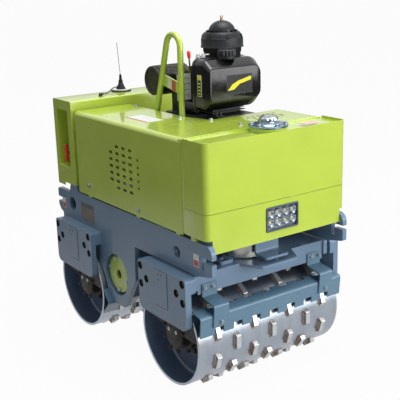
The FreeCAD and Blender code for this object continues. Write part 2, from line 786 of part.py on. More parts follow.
vent_columns = 5
vent_rows = 7
vent_pitch_y = 61.0
vent_pitch_z = 34.4
vent_length = 33.0
vent_height = 15.0
vent_centre_y = (side_cover_y[0] + side_cover_y[1]) / 2 + 3.5
vent_centre_z = (hood_bottom_z + hood_top_z) / 2 - 9.3


def vent_slots(x0, x1):
    """Grid of slots with its four corners left out."""
    slots = []
    for column in range(vent_columns):
        for row in range(vent_rows):
            corner = column in (0, vent_columns - 1) and row in (0, vent_rows - 1)
            if corner:
                continue
            y = vent_centre_y + (column - (vent_columns - 1) / 2) * vent_pitch_y
            z = vent_centre_z + (row - (vent_rows - 1) / 2) * vent_pitch_z
            slots.append(prism_x(rectangle(y - vent_length / 2, y + vent_length / 2, z - vent_height / 2,
                                           z + vent_height / 2, vent_height * 0.42), x0, x1))
    return Part.makeCompound(slots)


def side_cover_left():
    cover = mirror_x(prism_y(cover_section(centre_seam), side_cover_y[0], side_cover_y[1]))
    opening = prism_z(
        [(deck_edge_x, side_cover_y[1] + 1, 0), (deck_edge_x, deck_step_y, 6),
         (deck_step_x, deck_front_y, 6), (10, deck_front_y, 0), (10, side_cover_y[1] + 1, 0)],
        hood_top_z - 40, hood_top_z + 1)
    cover = cover.cut(opening)
    return cover.cut(vent_slots(-hood_half_width - 1, -sheet_inner_x + 1))


def side_cover_right():
    cover = prism_y(cover_section(centre_seam), side_cover_y[0], side_cover_y[1])
    opening = box(-10, hood_half_width + 1, deck_front_y, side_cover_y[1] + 1,
                  hood_top_z - hood_sheet - 1, hood_top_z + 1)
    window = box(sheet_inner_x - 40, hood_half_width + 1, deck_front_y, right_post_y,
                 right_sill_z, hood_top_z + 1)
    cover = cover.cut(opening).cut(window)
    return cover.cut(vent_slots(sheet_inner_x - 1, hood_half_width + 1))


save(side_cover_left(), "side_cover_left")
save(side_cover_right(), "side_cover_right")

# Front cowl: an upper tray with its walls standing above its top, and a lower skirt
# with a front flap and a cut-out for the work light.

cowl_outer_x = hood_half_width + 2.5
cowl_inner_x = cowl_outer_x - hood_sheet
cowl_back_y = hood_front_y + cowl_length
cowl_return = 16.0
filler_x = 16.0
filler_y = hood_front_y + 93.0
boss_radius = 85.0
boss_wall = 22.0
boss_top_z = cowl_top_z + 11.0
light_x = (-80.0, 112.0)
light_z = (cowl_seam_z - 144.0, cowl_seam_z - 27.0)
light_radius = 9.0


def cowl_shell(z0, z1):
    """U-shaped wall around the cowl's front and sides."""
    outer = [
        (-cowl_outer_x, cowl_back_y, 0), (-cowl_outer_x, hood_front_y, cowl_corner_radius),
        (cowl_outer_x, hood_front_y, cowl_corner_radius), (cowl_outer_x, cowl_back_y, 0)]
    inner = [
        (-cowl_inner_x, cowl_back_y + 1, 0), (-cowl_inner_x, hood_front_y + hood_sheet,
                                              cowl_corner_radius - hood_sheet),
        (cowl_inner_x, hood_front_y + hood_sheet, cowl_corner_radius - hood_sheet),
        (cowl_inner_x, cowl_back_y + 1, 0)]
    return prism_z(outer, z0, z1).cut(prism_z(inner, z0 - 1, z1 + 1))


def cowl_side_return(z0, z1):
    """Strip standing in the gap between the cowl's right side and the side cover."""
    return box(cowl_inner_x - hood_sheet, cowl_inner_x, cowl_back_y - 10, cowl_back_y + cowl_return, z0, z1)


def cowl_upper():
    wall = cowl_shell(cowl_seam_z + panel_gap / 2, cowl_top_z)
    top_z = cowl_top_z - cowl_lip
    top = prism_z(
        [(-cowl_inner_x, cowl_back_y, 0),
         (-cowl_inner_x, hood_front_y + hood_sheet, cowl_corner_radius - hood_sheet),
         (cowl_inner_x, hood_front_y + hood_sheet, cowl_corner_radius - hood_sheet),
         (cowl_inner_x, cowl_back_y, 0)], top_z - hood_sheet, top_z)
    tray = box(-cowl_inner_x, cowl_inner_x, cowl_back_y, cowl_back_y + cowl_return, top_z - hood_sheet, top_z)
    strip = cowl_side_return(cowl_seam_z + panel_gap / 2, top_z)
    boss = ring_z(boss_radius, boss_radius - boss_wall, top_z, boss_top_z, filler_x, filler_y)
    shape = join([wall, top, tray, strip, mirror_x(strip), boss])
    return shape.cut(cylinder_z(40.0, top_z - 10, top_z + 1, filler_x, filler_y))


def cowl_lower():
    skirt = cowl_shell(cowl_skirt_z, cowl_seam_z - panel_gap / 2)
    flap = box(-side_inner_x, side_inner_x, hood_front_y, hood_front_y + hood_sheet,
               cowl_flap_z, cowl_skirt_z + 1)
    strip = cowl_side_return(cowl_skirt_z, cowl_seam_z - panel_gap / 2)
    shape = join([skirt, flap, strip, mirror_x(strip)])
    window = prism_y(rectangle(light_x[0], light_x[1], light_z[0], light_z[1], light_radius),
                     hood_front_y - 1, hood_front_y + hood_sheet + 1)
    return shape.cut(window)


save(cowl_upper(), "cowl_upper")
save(cowl_lower(), "cowl_lower")

light_depth = 42.0
light_proud = 5.0
light_play = 0.3
light_body = prism_y(
    rectangle(light_x[0] + light_play, light_x[1] - light_play, light_z[0] + light_play,
              light_z[1] - light_play, light_radius),
    hood_front_y - light_proud, hood_front_y + light_depth)
save(light_body, "work_light")

filler_neck_radius = 38.0
filler_flange = cylinder_z(89.0, boss_top_z, boss_top_z + 7, filler_x, filler_y)
filler_neck = cylinder_z(filler_neck_radius, cowl_top_z - cowl_lip - 60, boss_top_z + 18, filler_x, filler_y)
save(join([filler_flange, filler_neck]), "filler_flange")
filler_cap = cylinder_z(43.0, boss_top_z + 18, boss_top_z + 46, filler_x, filler_y)
save(filler_cap.makeFillet(7.0, [filler_cap.Edges[0]]), "filler_cap")

# Posts inside the hood, standing on the side plates, that carry the sheets.

post_depth = 30.0
post_on_floor = 3.5
cowl_post_y = hood_front_y + 92.0
cover_post_places = (side_cover_y[0] + 30.0, middle_y - 172.0, right_post_y)


def hood_post(outer_x, y, top_z):
    return box(side_inner_x - post_on_floor, outer_x, y, y + post_depth, chassis_top_z, top_z)


def hood_posts():
    top_z = hood_top_z - hood_edge_radius - 12
    cowl_post = hood_post(cowl_inner_x, cowl_post_y, cowl_top_z - cowl_lip - hood_sheet)
    posts = [cowl_post, mirror_x(cowl_post)]
    for y in cover_post_places:
        under_sill = deck_front_y < y < right_post_y
        posts.append(hood_post(sheet_inner_x, y, right_sill_z - 10 if under_sill else top_z))
        posts.append(mirror_x(hood_post(sheet_inner_x, y, top_z)))
    return Part.makeCompound(posts)


save(hood_posts(), "hood_posts")

# ---- rear box ---------------------------------------------------------------

rear_box_y = (side_cover_y[1] + 21.0, side_cover_y[1] + 21.0 + rear_box_length)
rear_box_x = hood_half_width + rear_box_overhang
rear_box_floor_z = rear_post_top_z
rear_box_skirt_z = chassis_top_z + 19.0
rear_skirt_y = rear_box_y[0] + 123.0
recess_y = (rear_box_y[0] + 44.0, rear_box_y[0] + 173.0)
recess_z = (rear_box_floor_z + 91.0, rear_box_top_z - 53.0)
recess_depth = 92.0


def rear_box():
    sheet = hood_sheet
    front_y, back_y = rear_box_y
    outer = box(-rear_box_x, rear_box_x, front_y, back_y, rear_box_skirt_z, rear_box_top_z)
    notch = box(-rear_box_x - 1, rear_box_x + 1, front_y - 1, rear_skirt_y, rear_box_skirt_z - 1,
                rear_box_floor_z)
    inner = box(-rear_box_x + sheet, rear_box_x - sheet, front_y + sheet, back_y - sheet,
                rear_box_floor_z + sheet, rear_box_top_z - sheet)
    skirt = box(-rear_box_x + sheet, rear_box_x - sheet, rear_skirt_y, back_y - sheet,
                rear_box_skirt_z - 1, rear_box_floor_z)
    edges = [edge for edge in outer.Edges if edge.Length > 2 * rear_box_x - 1
             and edge.CenterOfMass.z > rear_box_top_z - 1]
    shape = outer.makeFillet(8.0, edges).cut(notch).cut(inner).cut(skirt)
    for side in (-1, 1):
        mouth = side * rear_box_x
        back = side * (rear_box_x - recess_depth)
        pocket = box(min(mouth, back), max(mouth, back), recess_y[0] - sheet, recess_y[1] + sheet,
                     recess_z[0] - sheet, recess_z[1] + sheet)
        hollow_back = side * (rear_box_x - recess_depth + sheet)
        beyond = side * (rear_box_x + 1)
        hollow = prism_x(rectangle(recess_y[0], recess_y[1], recess_z[0], recess_z[1], 10.0),
                         min(beyond, hollow_back), max(beyond, hollow_back))
        shape = shape.fuse(pocket).cut(hollow)
    return shape.removeSplitter()


save(rear_box(), "rear_box")

handle_y = (recess_y[0] + recess_y[1]) / 2 + 1.5
handle_z = recess_z[0] + 70.0
handle_bar_length = 98.0
handle_radius = 8.5
handle_reach = 74.0


def stop_handle():
    base_x = rear_box_x - recess_depth + hood_sheet
    stem = cylinder_x(handle_radius, base_x, base_x + handle_reach, handle_y, handle_z)
    collar = cylinder_x(handle_radius + 8, base_x, base_x + 12, handle_y, handle_z)
    bar = cylinder_z(handle_radius + 1.5, handle_z - handle_bar_length / 2, handle_z + handle_bar_length / 2,
                     base_x + handle_reach, handle_y)
    return join([stem, collar, bar])


save(both_sides(stop_handle()), "stop_handles")

# ---- engine -----------------------------------------------------------------

engine_x = (-28.0, 265.0)
engine_y = (-215.0, 160.0)
crankcase_top_z = hood_top_z - 6.6
head_x = (60.0, 270.0)
head_y = (-126.0, 110.0)
head_top_z = crankcase_top_z + 240.0
tank_x = (-62.0, 278.0)
tank_depth = 142.0
tank_z = (crankcase_top_z + 40.0, crankcase_top_z + 290.0)
shroud_y = (54.0, 160.0)
shroud_top_z = crankcase_top_z + 190.0


def engine_block():
    crankcase = box(engine_x[0], engine_x[1], engine_y[0], engine_y[1], chassis_top_z, crankcase_top_z)
    head = box(head_x[0], head_x[1], head_y[0], head_y[1], crankcase_top_z, head_top_z)
    shroud = prism_x(rectangle(shroud_y[0], shroud_y[1], crankcase_top_z - 5, shroud_top_z, 0),
                     engine_x[0] + 40, head_x[0] + 5)
    return join([crankcase, head, shroud])


save(engine_block(), "engine_block")


def fuel_tank():
    section = [
        (tank_x[0], tank_z[0], 34), (tank_x[1], tank_z[0], 62),
        (tank_x[1], tank_z[1], 62), (tank_x[0], tank_z[1], 34)]
    body = prism_y(section, head_y[0] - tank_depth, head_y[0])
    rim = [edge for edge in body.Edges if abs(edge.CenterOfMass.y - (head_y[0] - tank_depth)) < 0.1]
    return body.makeFillet(15.0, rim)


save(fuel_tank(), "fuel_tank")

tank_cap_x = 91.0
tank_cap_y = head_y[0] - 88.0
tank_cap = cylinder_z(46.0, tank_z[1] + 8, tank_z[1] + 38, tank_cap_x, tank_cap_y)
tank_cap = tank_cap.fuse(cylinder_z(38.0, tank_z[1], tank_z[1] + 9, tank_cap_x, tank_cap_y)).removeSplitter()
save(tank_cap, "fuel_tank_cap")

filter_x = 166.0
filter_y = -78.0
bowl_radius = 95.0
filter_ring_radius = 107.0
bowl_z = (tank_z[1] + 3.0, tank_z[1] + 38.0)
ring_z_span = (bowl_z[1], bowl_z[1] + 56.0)
dome_radius = 67.0
dome_top_z = ring_z_span[1] + 72.0


def filter_bowl():
    neck = cylinder_z(40.0, head_top_z, bowl_z[0] + 1, filter_x, filter_y)
    bowl = cylinder_z(bowl_radius, bowl_z[0], bowl_z[1], filter_x, filter_y)
    return join([neck, bowl])


def filter_dome():
    """Ring, sloping shoulder and dome of the filter's cover, turned about its axis."""
    shoulder_z = ring_z_span[1]
    foot_z = shoulder_z + 18.0
    rise = dome_top_z - foot_z
    sphere_radius = (dome_radius ** 2 + rise ** 2) / (2 * rise)
    centre_z = dome_top_z - sphere_radius
    middle = math.radians(90) - 0.5 * math.asin(dome_radius / sphere_radius)
    points = [(0, ring_z_span[0]), (filter_ring_radius, ring_z_span[0]), (filter_ring_radius, shoulder_z - 12),
              (filter_ring_radius - 12, foot_z - 4), (dome_radius, foot_z)]
    edges = []
    for first, last in zip(points, points[1:]):
        edges.append(Part.LineSegment(Vector(first[0], 0, first[1]), Vector(last[0], 0, last[1])).toShape())
    via = Vector(sphere_radius * math.cos(middle), 0, centre_z + sphere_radius * math.sin(middle))
    edges.append(Part.Arc(Vector(dome_radius, 0, foot_z), via, Vector(0, 0, dome_top_z)).toShape())
    edges.append(Part.LineSegment(Vector(0, 0, dome_top_z), Vector(0, 0, ring_z_span[0])).toShape())
    shape = Part.Face(Part.Wire(edges)).revolve(Vector(0, 0, 0), Vector(0, 0, 1), 360)
    shape.translate(Vector(filter_x, filter_y, 0))
    return shape


save(filter_bowl(), "air_filter_bowl")
save(filter_dome(), "air_filter_dome")

muffler_radius = 77.0
muffler_x = (-56.0, 150.0)
muffler_y = 240.0
muffler_z = crankcase_top_z + 150.0


def muffler():
    can = cylinder_x(muffler_radius, muffler_x[0], muffler_x[1], muffler_y, muffler_z)
    can = can.makeFillet(9.0, [edge for edge in can.Edges if edge.Length > 3 * muffler_radius
                               and isinstance(edge.Curve, Part.Circle)])
    stay = box(head_x[0] + 10, head_x[0] + 60, head_y[1], muffler_y - 30, muffler_z - 40, muffler_z + 10)
    return join([can, stay])


save(muffler(), "muffler")

# ---- lifting bail -----------------------------------------------------------

bail_x = -62.0
bail_radius = 15.0
bail_front_y = -41.5
bail_rear_foot = (187.0, crankcase_top_z + 3.0)
bail_lean = 0.316
bail_top_z = crankcase_top_z + 398.0
brace_front = (crankcase_top_z + 105.0, crankcase_top_z + 162.0)
brace_rear = (crankcase_top_z + 146.0, crankcase_top_z + 199.0)


def rear_leg_y(z):
    return bail_rear_foot[0] - (z - bail_rear_foot[1]) * bail_lean


def lifting_bail():
    half = math.atan(bail_lean) / 2
    vertex_z = bail_rear_foot[1] + (bail_rear_foot[0] - bail_front_y) / bail_lean
    bend = (vertex_z - bail_top_z) / (1 / math.tan(half) - 1)
    centre = Vector(bail_x, bail_front_y + bend, bail_top_z - bend)
    front = Vector(bail_x, bail_front_y, centre.z)
    lean = math.atan(bail_lean)
    rear = centre + Vector(0, math.cos(lean), math.sin(lean)) * bend
    middle_angle = (math.pi + lean) / 2
    top = centre + Vector(0, math.cos(middle_angle), math.sin(middle_angle)) * bend
    front_foot = Vector(bail_x, bail_front_y, chassis_top_z)
    rear_foot = Vector(bail_x, rear_leg_y(chassis_top_z - bail_radius), chassis_top_z - bail_radius)
    path = Part.Wire([
        Part.LineSegment(front_foot, front).toShape(),
        Part.Arc(front, top, rear).toShape(),
        Part.LineSegment(rear, rear_foot).toShape()])
    section = Part.Wire([Part.makeCircle(bail_radius, front_foot, Vector(0, 0, 1))])
    tube = path.makePipeShell([section], True, True)
    brace = prism_x(
        [(bail_front_y, brace_front[0], 0), (rear_leg_y(brace_rear[0]), brace_rear[0], 0),
         (rear_leg_y(brace_rear[1]), brace_rear[1], 0), (bail_front_y, brace_front[1], 0)],
        bail_x - 3, bail_x + 3)
    below = box(bail_x - 40, bail_x + 40, bail_front_y - 40, rear_foot.y + 80, 0, chassis_top_z)
    return tube.fuse(brace).cut(below).removeSplitter()


save(lifting_bail(), "lifting_bail")

# ---- small pieces on the engine and the rear box ----------------------------

side_sheet_x = (-25.0, head_x[0])
side_sheet_z = (crankcase_top_z + 62.0, crankcase_top_z + 193.0)
side_sheet = box(side_sheet_x[0], side_sheet_x[1], shroud_y[0] - hood_sheet, shroud_y[0],
                 side_sheet_z[0], side_sheet_z[1])
save(side_sheet, "engine_side_plate")

lever_foot = Vector(head_x[0] + 5.0, -90.0, crankcase_top_z + 200.0)
lever_knee = Vector(-40.0, -90.0, crankcase_top_z + 225.0)
lever_tip = Vector(-44.0, -90.0, crankcase_top_z + 290.0)
lever_radius = 4.5
knob_length = 34.0
knob_radius = 9.0


def rod(start, end, radius):
    return Part.makeCylinder(radius, (end - start).Length, start, end - start)


lever = join([rod(lever_foot, lever_knee, lever_radius), Part.makeSphere(lever_radius, lever_knee),
              rod(lever_knee, lever_tip, lever_radius),
              rod(lever_tip, lever_tip + Vector(0, 0, knob_length), knob_radius)])
inside_head = box(head_x[0], head_x[1], head_y[0], head_y[1], crankcase_top_z, head_top_z)
save(lever.cut(inside_head), "throttle_lever")

antenna_at = Vector(-14.0, rear_box_y[0] + 158.0, rear_box_top_z)
antenna_disc_radius = 56.0
antenna_disc_height = 10.0
antenna_base_radius = 24.0
antenna_base_height = 32.0
antenna_lean = Vector(-12.0, 0.0, 262.0)

# The antenna's lead lies on the rear box from the base to a gland.  Its points are
# given from the middle of the antenna's foot.

lead_radius = 2.5
lead_points = [antenna_at + Vector(x, y, z) for x, y, z in (
    (-30.0, -2.0, 24.0), (-46.0, -4.0, 23.5), (-64.0, -9.0, 18.5), (-83.0, -18.0, 9.5),
    (-102.0, -31.0, 3.6), (-121.0, -47.0, 3.6), (-139.0, -64.0, 6.9), (-156.0, -75.0, 7.5))]
gland_radius = 7.5
gland_length = 34.0
gland_foot_radius = 10.0


def antenna():
    foot_z = antenna_at.z + antenna_disc_height
    disc = cylinder_z(antenna_disc_radius, antenna_at.z, foot_z, antenna_at.x, antenna_at.y)
    base = Part.makeCone(antenna_base_radius, 0.6 * antenna_base_radius, antenna_base_height,
                         Vector(antenna_at.x, antenna_at.y, foot_z - 0.5), Vector(0, 0, 1))
    cone = Part.makeCone(12.0, 4.0, 60.0, antenna_at + Vector(0, 0, antenna_base_height), Vector(0, 0, 1))
    whip = rod(antenna_at + Vector(0, 0, 80), antenna_at + antenna_lean, 2.2)
    tip = Part.makeSphere(3.2, antenna_at + antenna_lean)
    leaving = (lead_points[1] - lead_points[0]).normalize()
    boss = rod(lead_points[0] - leaving * 18.0, lead_points[0], lead_radius + 2.0)
    return join([disc, base, cone, whip, tip, boss])


def cord_tube(points, radius):
    """Round tube along straight runs joined by tangent arcs as large as the runs allow."""
    edges = []
    start = points[0]
    for before, here, after in zip(points, points[1:], points[2:]):
        back = before - here
        ahead = after - here
        shorter = min(back.Length, ahead.Length)
        reach = 0.45 * shorter
        half_turn = (math.pi - back.getAngle(ahead)) / 2
        bend = reach / math.tan(half_turn)
        back.normalize()
        ahead.normalize()
        inward = (back + ahead).normalize()
        middle = here + inward * (bend / math.cos(half_turn) - bend)
        edges.append(Part.LineSegment(start, here + back * reach).toShape())
        edges.append(Part.Arc(here + back * reach, middle, here + ahead * reach).toShape())
        start = here + ahead * reach
        print("lead bend radius", round(bend, 1))
    edges.append(Part.LineSegment(start, points[-1]).toShape())
    path = Part.Wire(edges)
    section = Part.Wire([Part.makeCircle(radius, points[0], points[1] - points[0])])
    tube = path.makePipeShell([section], True, True)
    print("lead length", round(path.Length, 1), "volume share", round(
        tube.Volume / (math.pi * radius ** 2 * path.Length), 4))
    return tube


def lead_gland():
    """Gland lying on the rear box, with the foot through which the lead goes inside."""
    mouth = lead_points[-1]
    inward = (mouth - lead_points[-2]).normalize()
    end = mouth + inward * gland_length
    body = rod(mouth, end, gland_radius)
    foot = cylinder_z(gland_foot_radius, rear_box_top_z, end.z, end.x, end.y)
    below = box(mouth.x - 99, mouth.x + 99, mouth.y - 99, mouth.y + 99, rear_box_top_z - 50, rear_box_top_z)
    return join([body, foot]).cut(below)


save(antenna(), "antenna")
save(cord_tube(lead_points, lead_radius), "antenna_lead")
save(lead_gland(), "lead_gland")
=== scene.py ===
"""Looks of the trench roller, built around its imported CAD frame.  Metres, +Z up, front at -Y."""

import math
import random

import bmesh
import bpy
from mathutils import Matrix, Vector


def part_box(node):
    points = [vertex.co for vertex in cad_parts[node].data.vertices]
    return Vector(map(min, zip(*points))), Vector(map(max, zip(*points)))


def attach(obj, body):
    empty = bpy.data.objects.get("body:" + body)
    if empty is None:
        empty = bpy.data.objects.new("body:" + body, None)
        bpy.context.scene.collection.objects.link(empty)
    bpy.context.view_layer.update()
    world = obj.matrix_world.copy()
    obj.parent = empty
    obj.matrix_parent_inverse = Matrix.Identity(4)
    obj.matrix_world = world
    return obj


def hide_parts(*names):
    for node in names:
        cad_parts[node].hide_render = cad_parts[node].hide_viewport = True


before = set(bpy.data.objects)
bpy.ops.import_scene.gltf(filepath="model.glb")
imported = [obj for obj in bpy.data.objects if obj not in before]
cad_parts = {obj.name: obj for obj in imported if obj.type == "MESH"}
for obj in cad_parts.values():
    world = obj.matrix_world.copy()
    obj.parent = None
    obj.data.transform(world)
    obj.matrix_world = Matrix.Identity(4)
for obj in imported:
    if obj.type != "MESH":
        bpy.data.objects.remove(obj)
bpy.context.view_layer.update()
scene = bpy.context.scene
chance = random.Random(7)

SIDES = (-1, 1)
UP = (0, 0, 1)
FORWARD = (0, -1, 0)


# ---- places read from the frame ---------------------------------------------

def low(node):
    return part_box(node)[0]


def high(node):
    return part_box(node)[1]


def middle(node):
    return (low(node) + high(node)) / 2


FRONT_AXIS = middle("front_drum")
REAR_AXIS = middle("rear_drum")
DRUM_HALF = high("front_drum").x
PAD_REACH = high("front_drum").z - FRONT_AXIS.z
PAD_HEIGHT = 0.0183
SHELL_R = PAD_REACH - PAD_HEIGHT
LEG_FACE = high("rear_legs").x
HOOD_X = high("side_cover_right").x
HOOD_TOP = high("side_cover_right").z


# ---- camera -----------------------------------------------------------------

def make_camera():
    """Camera at the photograph's viewing angle."""
    azimuth, elevation, roll = 0.6127, 0.2752, -0.029
    place = (-2.33948, -3.41256, 1.91512)
    focal_pixels, image_pixels, sensor = 828.14, 400, 36
    ahead = Vector((math.sin(azimuth) * math.cos(elevation), math.cos(azimuth) * math.cos(elevation),
                    -math.sin(elevation)))
    right = ahead.cross(Vector(UP)).normalized()
    up = right.cross(ahead)
    across = math.cos(roll) * right + math.sin(roll) * up
    above = math.cos(roll) * up - math.sin(roll) * right
    data = bpy.data.cameras.new("camera")
    data.sensor_width = sensor
    data.lens = focal_pixels / image_pixels * sensor
    data.clip_end = 200
    camera = bpy.data.objects.new("camera", data)
    scene.collection.objects.link(camera)
    rows = [(across[i], above[i], -ahead[i], place[i]) for i in range(3)]
    camera.matrix_world = Matrix((*rows, (0, 0, 0, 1)))
    scene.camera = camera


make_camera()


# ---- materials --------------------------------------------------------------

class Net:
    """Short calls for the nodes of one tree."""

    def __init__(self, tree):
        self.tree = tree

    def put(self, target, value):
        if isinstance(value, bpy.types.NodeSocket):
            self.tree.links.new(value, target)
        elif target.type == "RGBA":
            target.default_value = (*value, 1)
        else:
            target.default_value = value

    def node(self, kind, sockets=None, **settings):
        """New node; sockets gives numbers, colours or other nodes' outputs by name or index."""
        made = self.tree.nodes.new("ShaderNode" + kind)
        for key, value in settings.items():
            setattr(made, key, value)
        for key, value in (sockets or {}).items():
            self.put(made.inputs[key], value)
        return made

    def span(self, value, from_low, from_high, to_low=0.0, to_high=1.0):
        numbers = dict(enumerate((value, from_low, from_high, to_low, to_high)))
        return self.node("MapRange", numbers).outputs["Result"]

    def math(self, operation, first, second):
        return self.node("Math", {0: first, 1: second}, operation=operation).outputs["Value"]


class Recipe(Net):
    """A Principled material with its procedural patterns."""

    def __init__(self, name, colour, roughness=0.5, metallic=0.0, coat=0.0, coat_roughness=0.1, specular=0.5):
        self.material = bpy.data.materials.new(name)
        self.material.use_nodes = True
        super().__init__(self.material.node_tree)
        self.shader = self.tree.nodes["Principled BSDF"]
        self.set("Base Color", colour)
        self.set("Roughness", roughness)
        self.set("Metallic", metallic)
        self.set("Coat Weight", coat)
        self.set("Coat Roughness", coat_roughness)
        self.set("Specular IOR Level", specular)
        self.position = self.node("TexCoord").outputs["Object"]

    def set(self, socket, value):
        self.put(self.shader.inputs[socket], value)

    def stretched(self, *scale):
        """Object position with each axis scaled, so that a pattern runs along one direction."""
        return self.node("Mapping", {"Scale": scale, "Vector": self.position}).outputs["Vector"]

    def noise(self, scale, detail=3, rough=0.5, vector=None):
        sockets = {"Scale": scale, "Detail": detail, "Roughness": rough, "Vector": vector or self.position}
        return self.node("TexNoise", sockets).outputs["Fac"]

    def patches(self, scale, detail, rough, *span):
        """Noise spread between two of its levels."""
        return self.span(self.noise(scale, detail, rough), *span)

    def mix(self, factor, first, second):
        return self.node("Mix", {0: factor, 6: first, 7: second}, data_type="RGBA").outputs[2]

    def edges(self, radius):
        """Near 1 on sharp outer edges and 0 on flat places."""
        rounded = self.node("Bevel", {"Radius": radius}, samples=4).outputs["Normal"]
        flat = self.node("NewGeometry").outputs["Normal"]
        dot = self.node("VectorMath", {0: rounded, 1: flat}, operation="DOT_PRODUCT")
        return self.span(dot.outputs["Value"], 0.99, 0.80)

    def bump(self, height, strength, distance=0.0006):
        made = self.node("Bump", {"Strength": strength, "Distance": distance, "Height": height})
        self.set("Normal", made.outputs["Normal"])


def srgb(red, green, blue):
    """Linear colour from 0 to 255 display values."""
    return tuple(((v / 255 + 0.055) / 1.055) ** 2.4 if v > 10 else v / 255 / 12.92 for v in (red, green, blue))


def shade(colour, factor):
    return tuple(min(1.0, v * factor) for v in colour)


def paint(name, colour, gloss, dust, peel):
    """Sprayed paint: clouded tone, dust low down, sharp edges painted paler in patches as a highlight, and a fine
    orange peel.
    """
    made = Recipe(name, colour, 0.5 - 0.3 * gloss, coat=0.9 * gloss, coat_roughness=0.07, specular=0.3)
    tone = made.mix(made.patches(5, 4, 0.5, 0.3, 0.7), shade(colour, 0.95), shade(colour, 1.04))
    tone = made.mix(made.patches(160, 5, 0.7, 0.60, 0.78, 0, dust), tone, DUST)
    height = made.node("SeparateXYZ", {0: made.position}).outputs["Z"]
    grime = made.math("MULTIPLY", made.span(height, 0.9, 0.1), made.patches(11, 6, 0.65, 0.45, 0.8))
    tone = made.mix(made.math("MULTIPLY", grime, 1.6 * dust), tone, GRIME)
    # painted highlight: sharp edges are lightened in patches to stand in for the light they catch
    painted_edge_highlight = made.math("MULTIPLY", made.edges(0.0025), made.patches(70, 4, 0.5, 0.35, 0.75, 0.1, 0.7))
    made.set("Base Color", made.mix(painted_edge_highlight, tone, shade(colour, 1.5)))
    made.set("Roughness", made.patches(24, 4, 0.5, 0.3, 0.7, 0.42 - 0.3 * gloss, 0.54 - 0.3 * gloss))
    made.bump(made.noise(peel, 2), 0.07)
    return made.material


def metal(name, colour, roughness, blotch, stretch=(1, 1, 1), scratch=600):
    """Bare metal with tone blotches and scratches that run across the stretched axis."""
    made = Recipe(name, colour, roughness, metallic=1.0)
    made.set("Base Color", made.mix(made.patches(28, 5, 0.6, 0.35, 0.7), shade(colour, 1.0 - blotch), colour))
    lines = made.noise(scratch, 4, 0.7, made.stretched(*stretch))
    made.set("Roughness", made.span(lines, 0.3, 0.7, roughness - 0.07, roughness + 0.10))
    made.bump(lines, 0.12, 0.0004)
    return made.material


def dull(name, colour, roughness, grain, depth, second=None, coat=0.0):
    """Moulded plastic, rubber or cast surface: fine grain with a faint second tone."""
    made = Recipe(name, colour, roughness, coat=coat, coat_roughness=0.15, specular=0.35)
    cloud = made.patches(18, 5, 0.6, 0.35, 0.75)
    made.set("Base Color", made.mix(cloud, colour, second or shade(colour, 1.35)))
    made.set("Roughness", made.patches(40, 3, 0.5, 0.3, 0.7, roughness - 0.08, roughness + 0.08))
    made.bump(made.noise(grain), depth)
    return made.material


def rolled_steel():
    """Rolled steel polished by soil: faintly brushed round the drum, with soft streaks and dried earth."""
    made = Recipe("drum_steel", srgb(164, 174, 186), 0.36, metallic=1.0)
    streaks = made.span(made.noise(7, 5, 0.55, made.stretched(5, 1, 1)), 0.32, 0.72)
    tone = made.mix(streaks, srgb(160, 169, 180), srgb(172, 180, 190))
    earth = made.math("MULTIPLY", made.patches(8, 7, 0.7, 0.54, 0.74), 0.5)
    made.set("Base Color", made.mix(earth, tone, srgb(158, 144, 126)))
    made.set("Roughness", made.span(made.noise(20, 4, 0.6, made.stretched(2, 1, 1)), 0.3, 0.7, 0.28, 0.36))
    made.bump(made.noise(240, 4, 0.7, made.stretched(0.2, 1, 1)), 0.05, 0.0004)
    return made.material


def rusted(name, bright, dark, light, amount, roughness):
    """Steel under patchy rust; amount is the share of the surface that has rusted."""
    made = Recipe(name, bright, roughness, metallic=0.8)
    rust = made.mix(made.patches(120, 6, 0.7, 0.35, 0.7), dark, light)
    patch = made.patches(38, 6, 0.7, 0.62 - 0.45 * amount, 0.82 - 0.45 * amount)
    shine = made.mix(made.patches(60, 4, 0.5, 0.3, 0.7), shade(bright, 0.85), bright)
    made.set("Base Color", made.mix(patch, shine, rust))
    made.set("Roughness", made.span(patch, 0, 1, roughness, 0.8))
    made.bump(made.noise(260, 5, 0.7), 0.3)
    return made.material


def clear_lens():
    """Clear moulded lens with fine upright flutes."""
    made = Recipe("lamp_lens", (0.96, 0.97, 0.98), 0.06)
    made.set("Transmission Weight", 1.0)
    made.set("IOR", 1.2)
    wave = made.node("TexWave", {"Scale": 55, "Vector": made.position}, wave_type="BANDS", bands_direction="X")
    made.bump(wave.outputs["Fac"], 0.25)
    return made.material


LIME = srgb(184, 206, 76)
DUST, GRIME = srgb(176, 172, 158), srgb(150, 142, 126)
PAD_DARK, PAD_LIGHT = srgb(140, 116, 98), srgb(176, 160, 144)

hood_paint = paint("hood_paint", LIME, 0.95, 0.05, 900)
hub_paint = paint("hub_paint", shade(LIME, 0.9), 0.5, 0.12, 700)
frame_paint = paint("frame_paint", srgb(106, 130, 154), 0.35, 0.07, 700)
scraper_paint = paint("scraper_paint", srgb(88, 120, 142), 0.55, 0.07, 700)
barrel_paint = paint("barrel_paint", srgb(40, 42, 45), 0.5, 0.1, 600)
drum_inside = paint("drum_inside", srgb(92, 112, 138), 0.4, 0.1, 500)
drum_outside = rolled_steel()
pad_worn = rusted("pad_worn", srgb(206, 210, 214), PAD_DARK, PAD_LIGHT, 0.15, 0.28)
pad_rust = rusted("pad_rust", srgb(178, 172, 164), srgb(124, 98, 80), srgb(164, 142, 122), 0.45, 0.42)
rusty_steel = rusted("rusty_steel", srgb(120, 118, 116), srgb(62, 46, 38), srgb(98, 78, 64), 0.8, 0.55)
machined_steel = metal("machined_steel", srgb(205, 207, 208), 0.28, 0.15, (1, 1, 14))
turned_steel = metal("turned_steel", srgb(208, 206, 200), 0.24, 0.12, (1, 1, 18), 420)
whip_steel = metal("whip_steel", srgb(150, 152, 156), 0.35, 0.2)
zinc = metal("zinc", srgb(168, 178, 182), 0.34, 0.28)
zinc_bright = metal("zinc_bright", srgb(148, 168, 184), 0.22, 0.3)
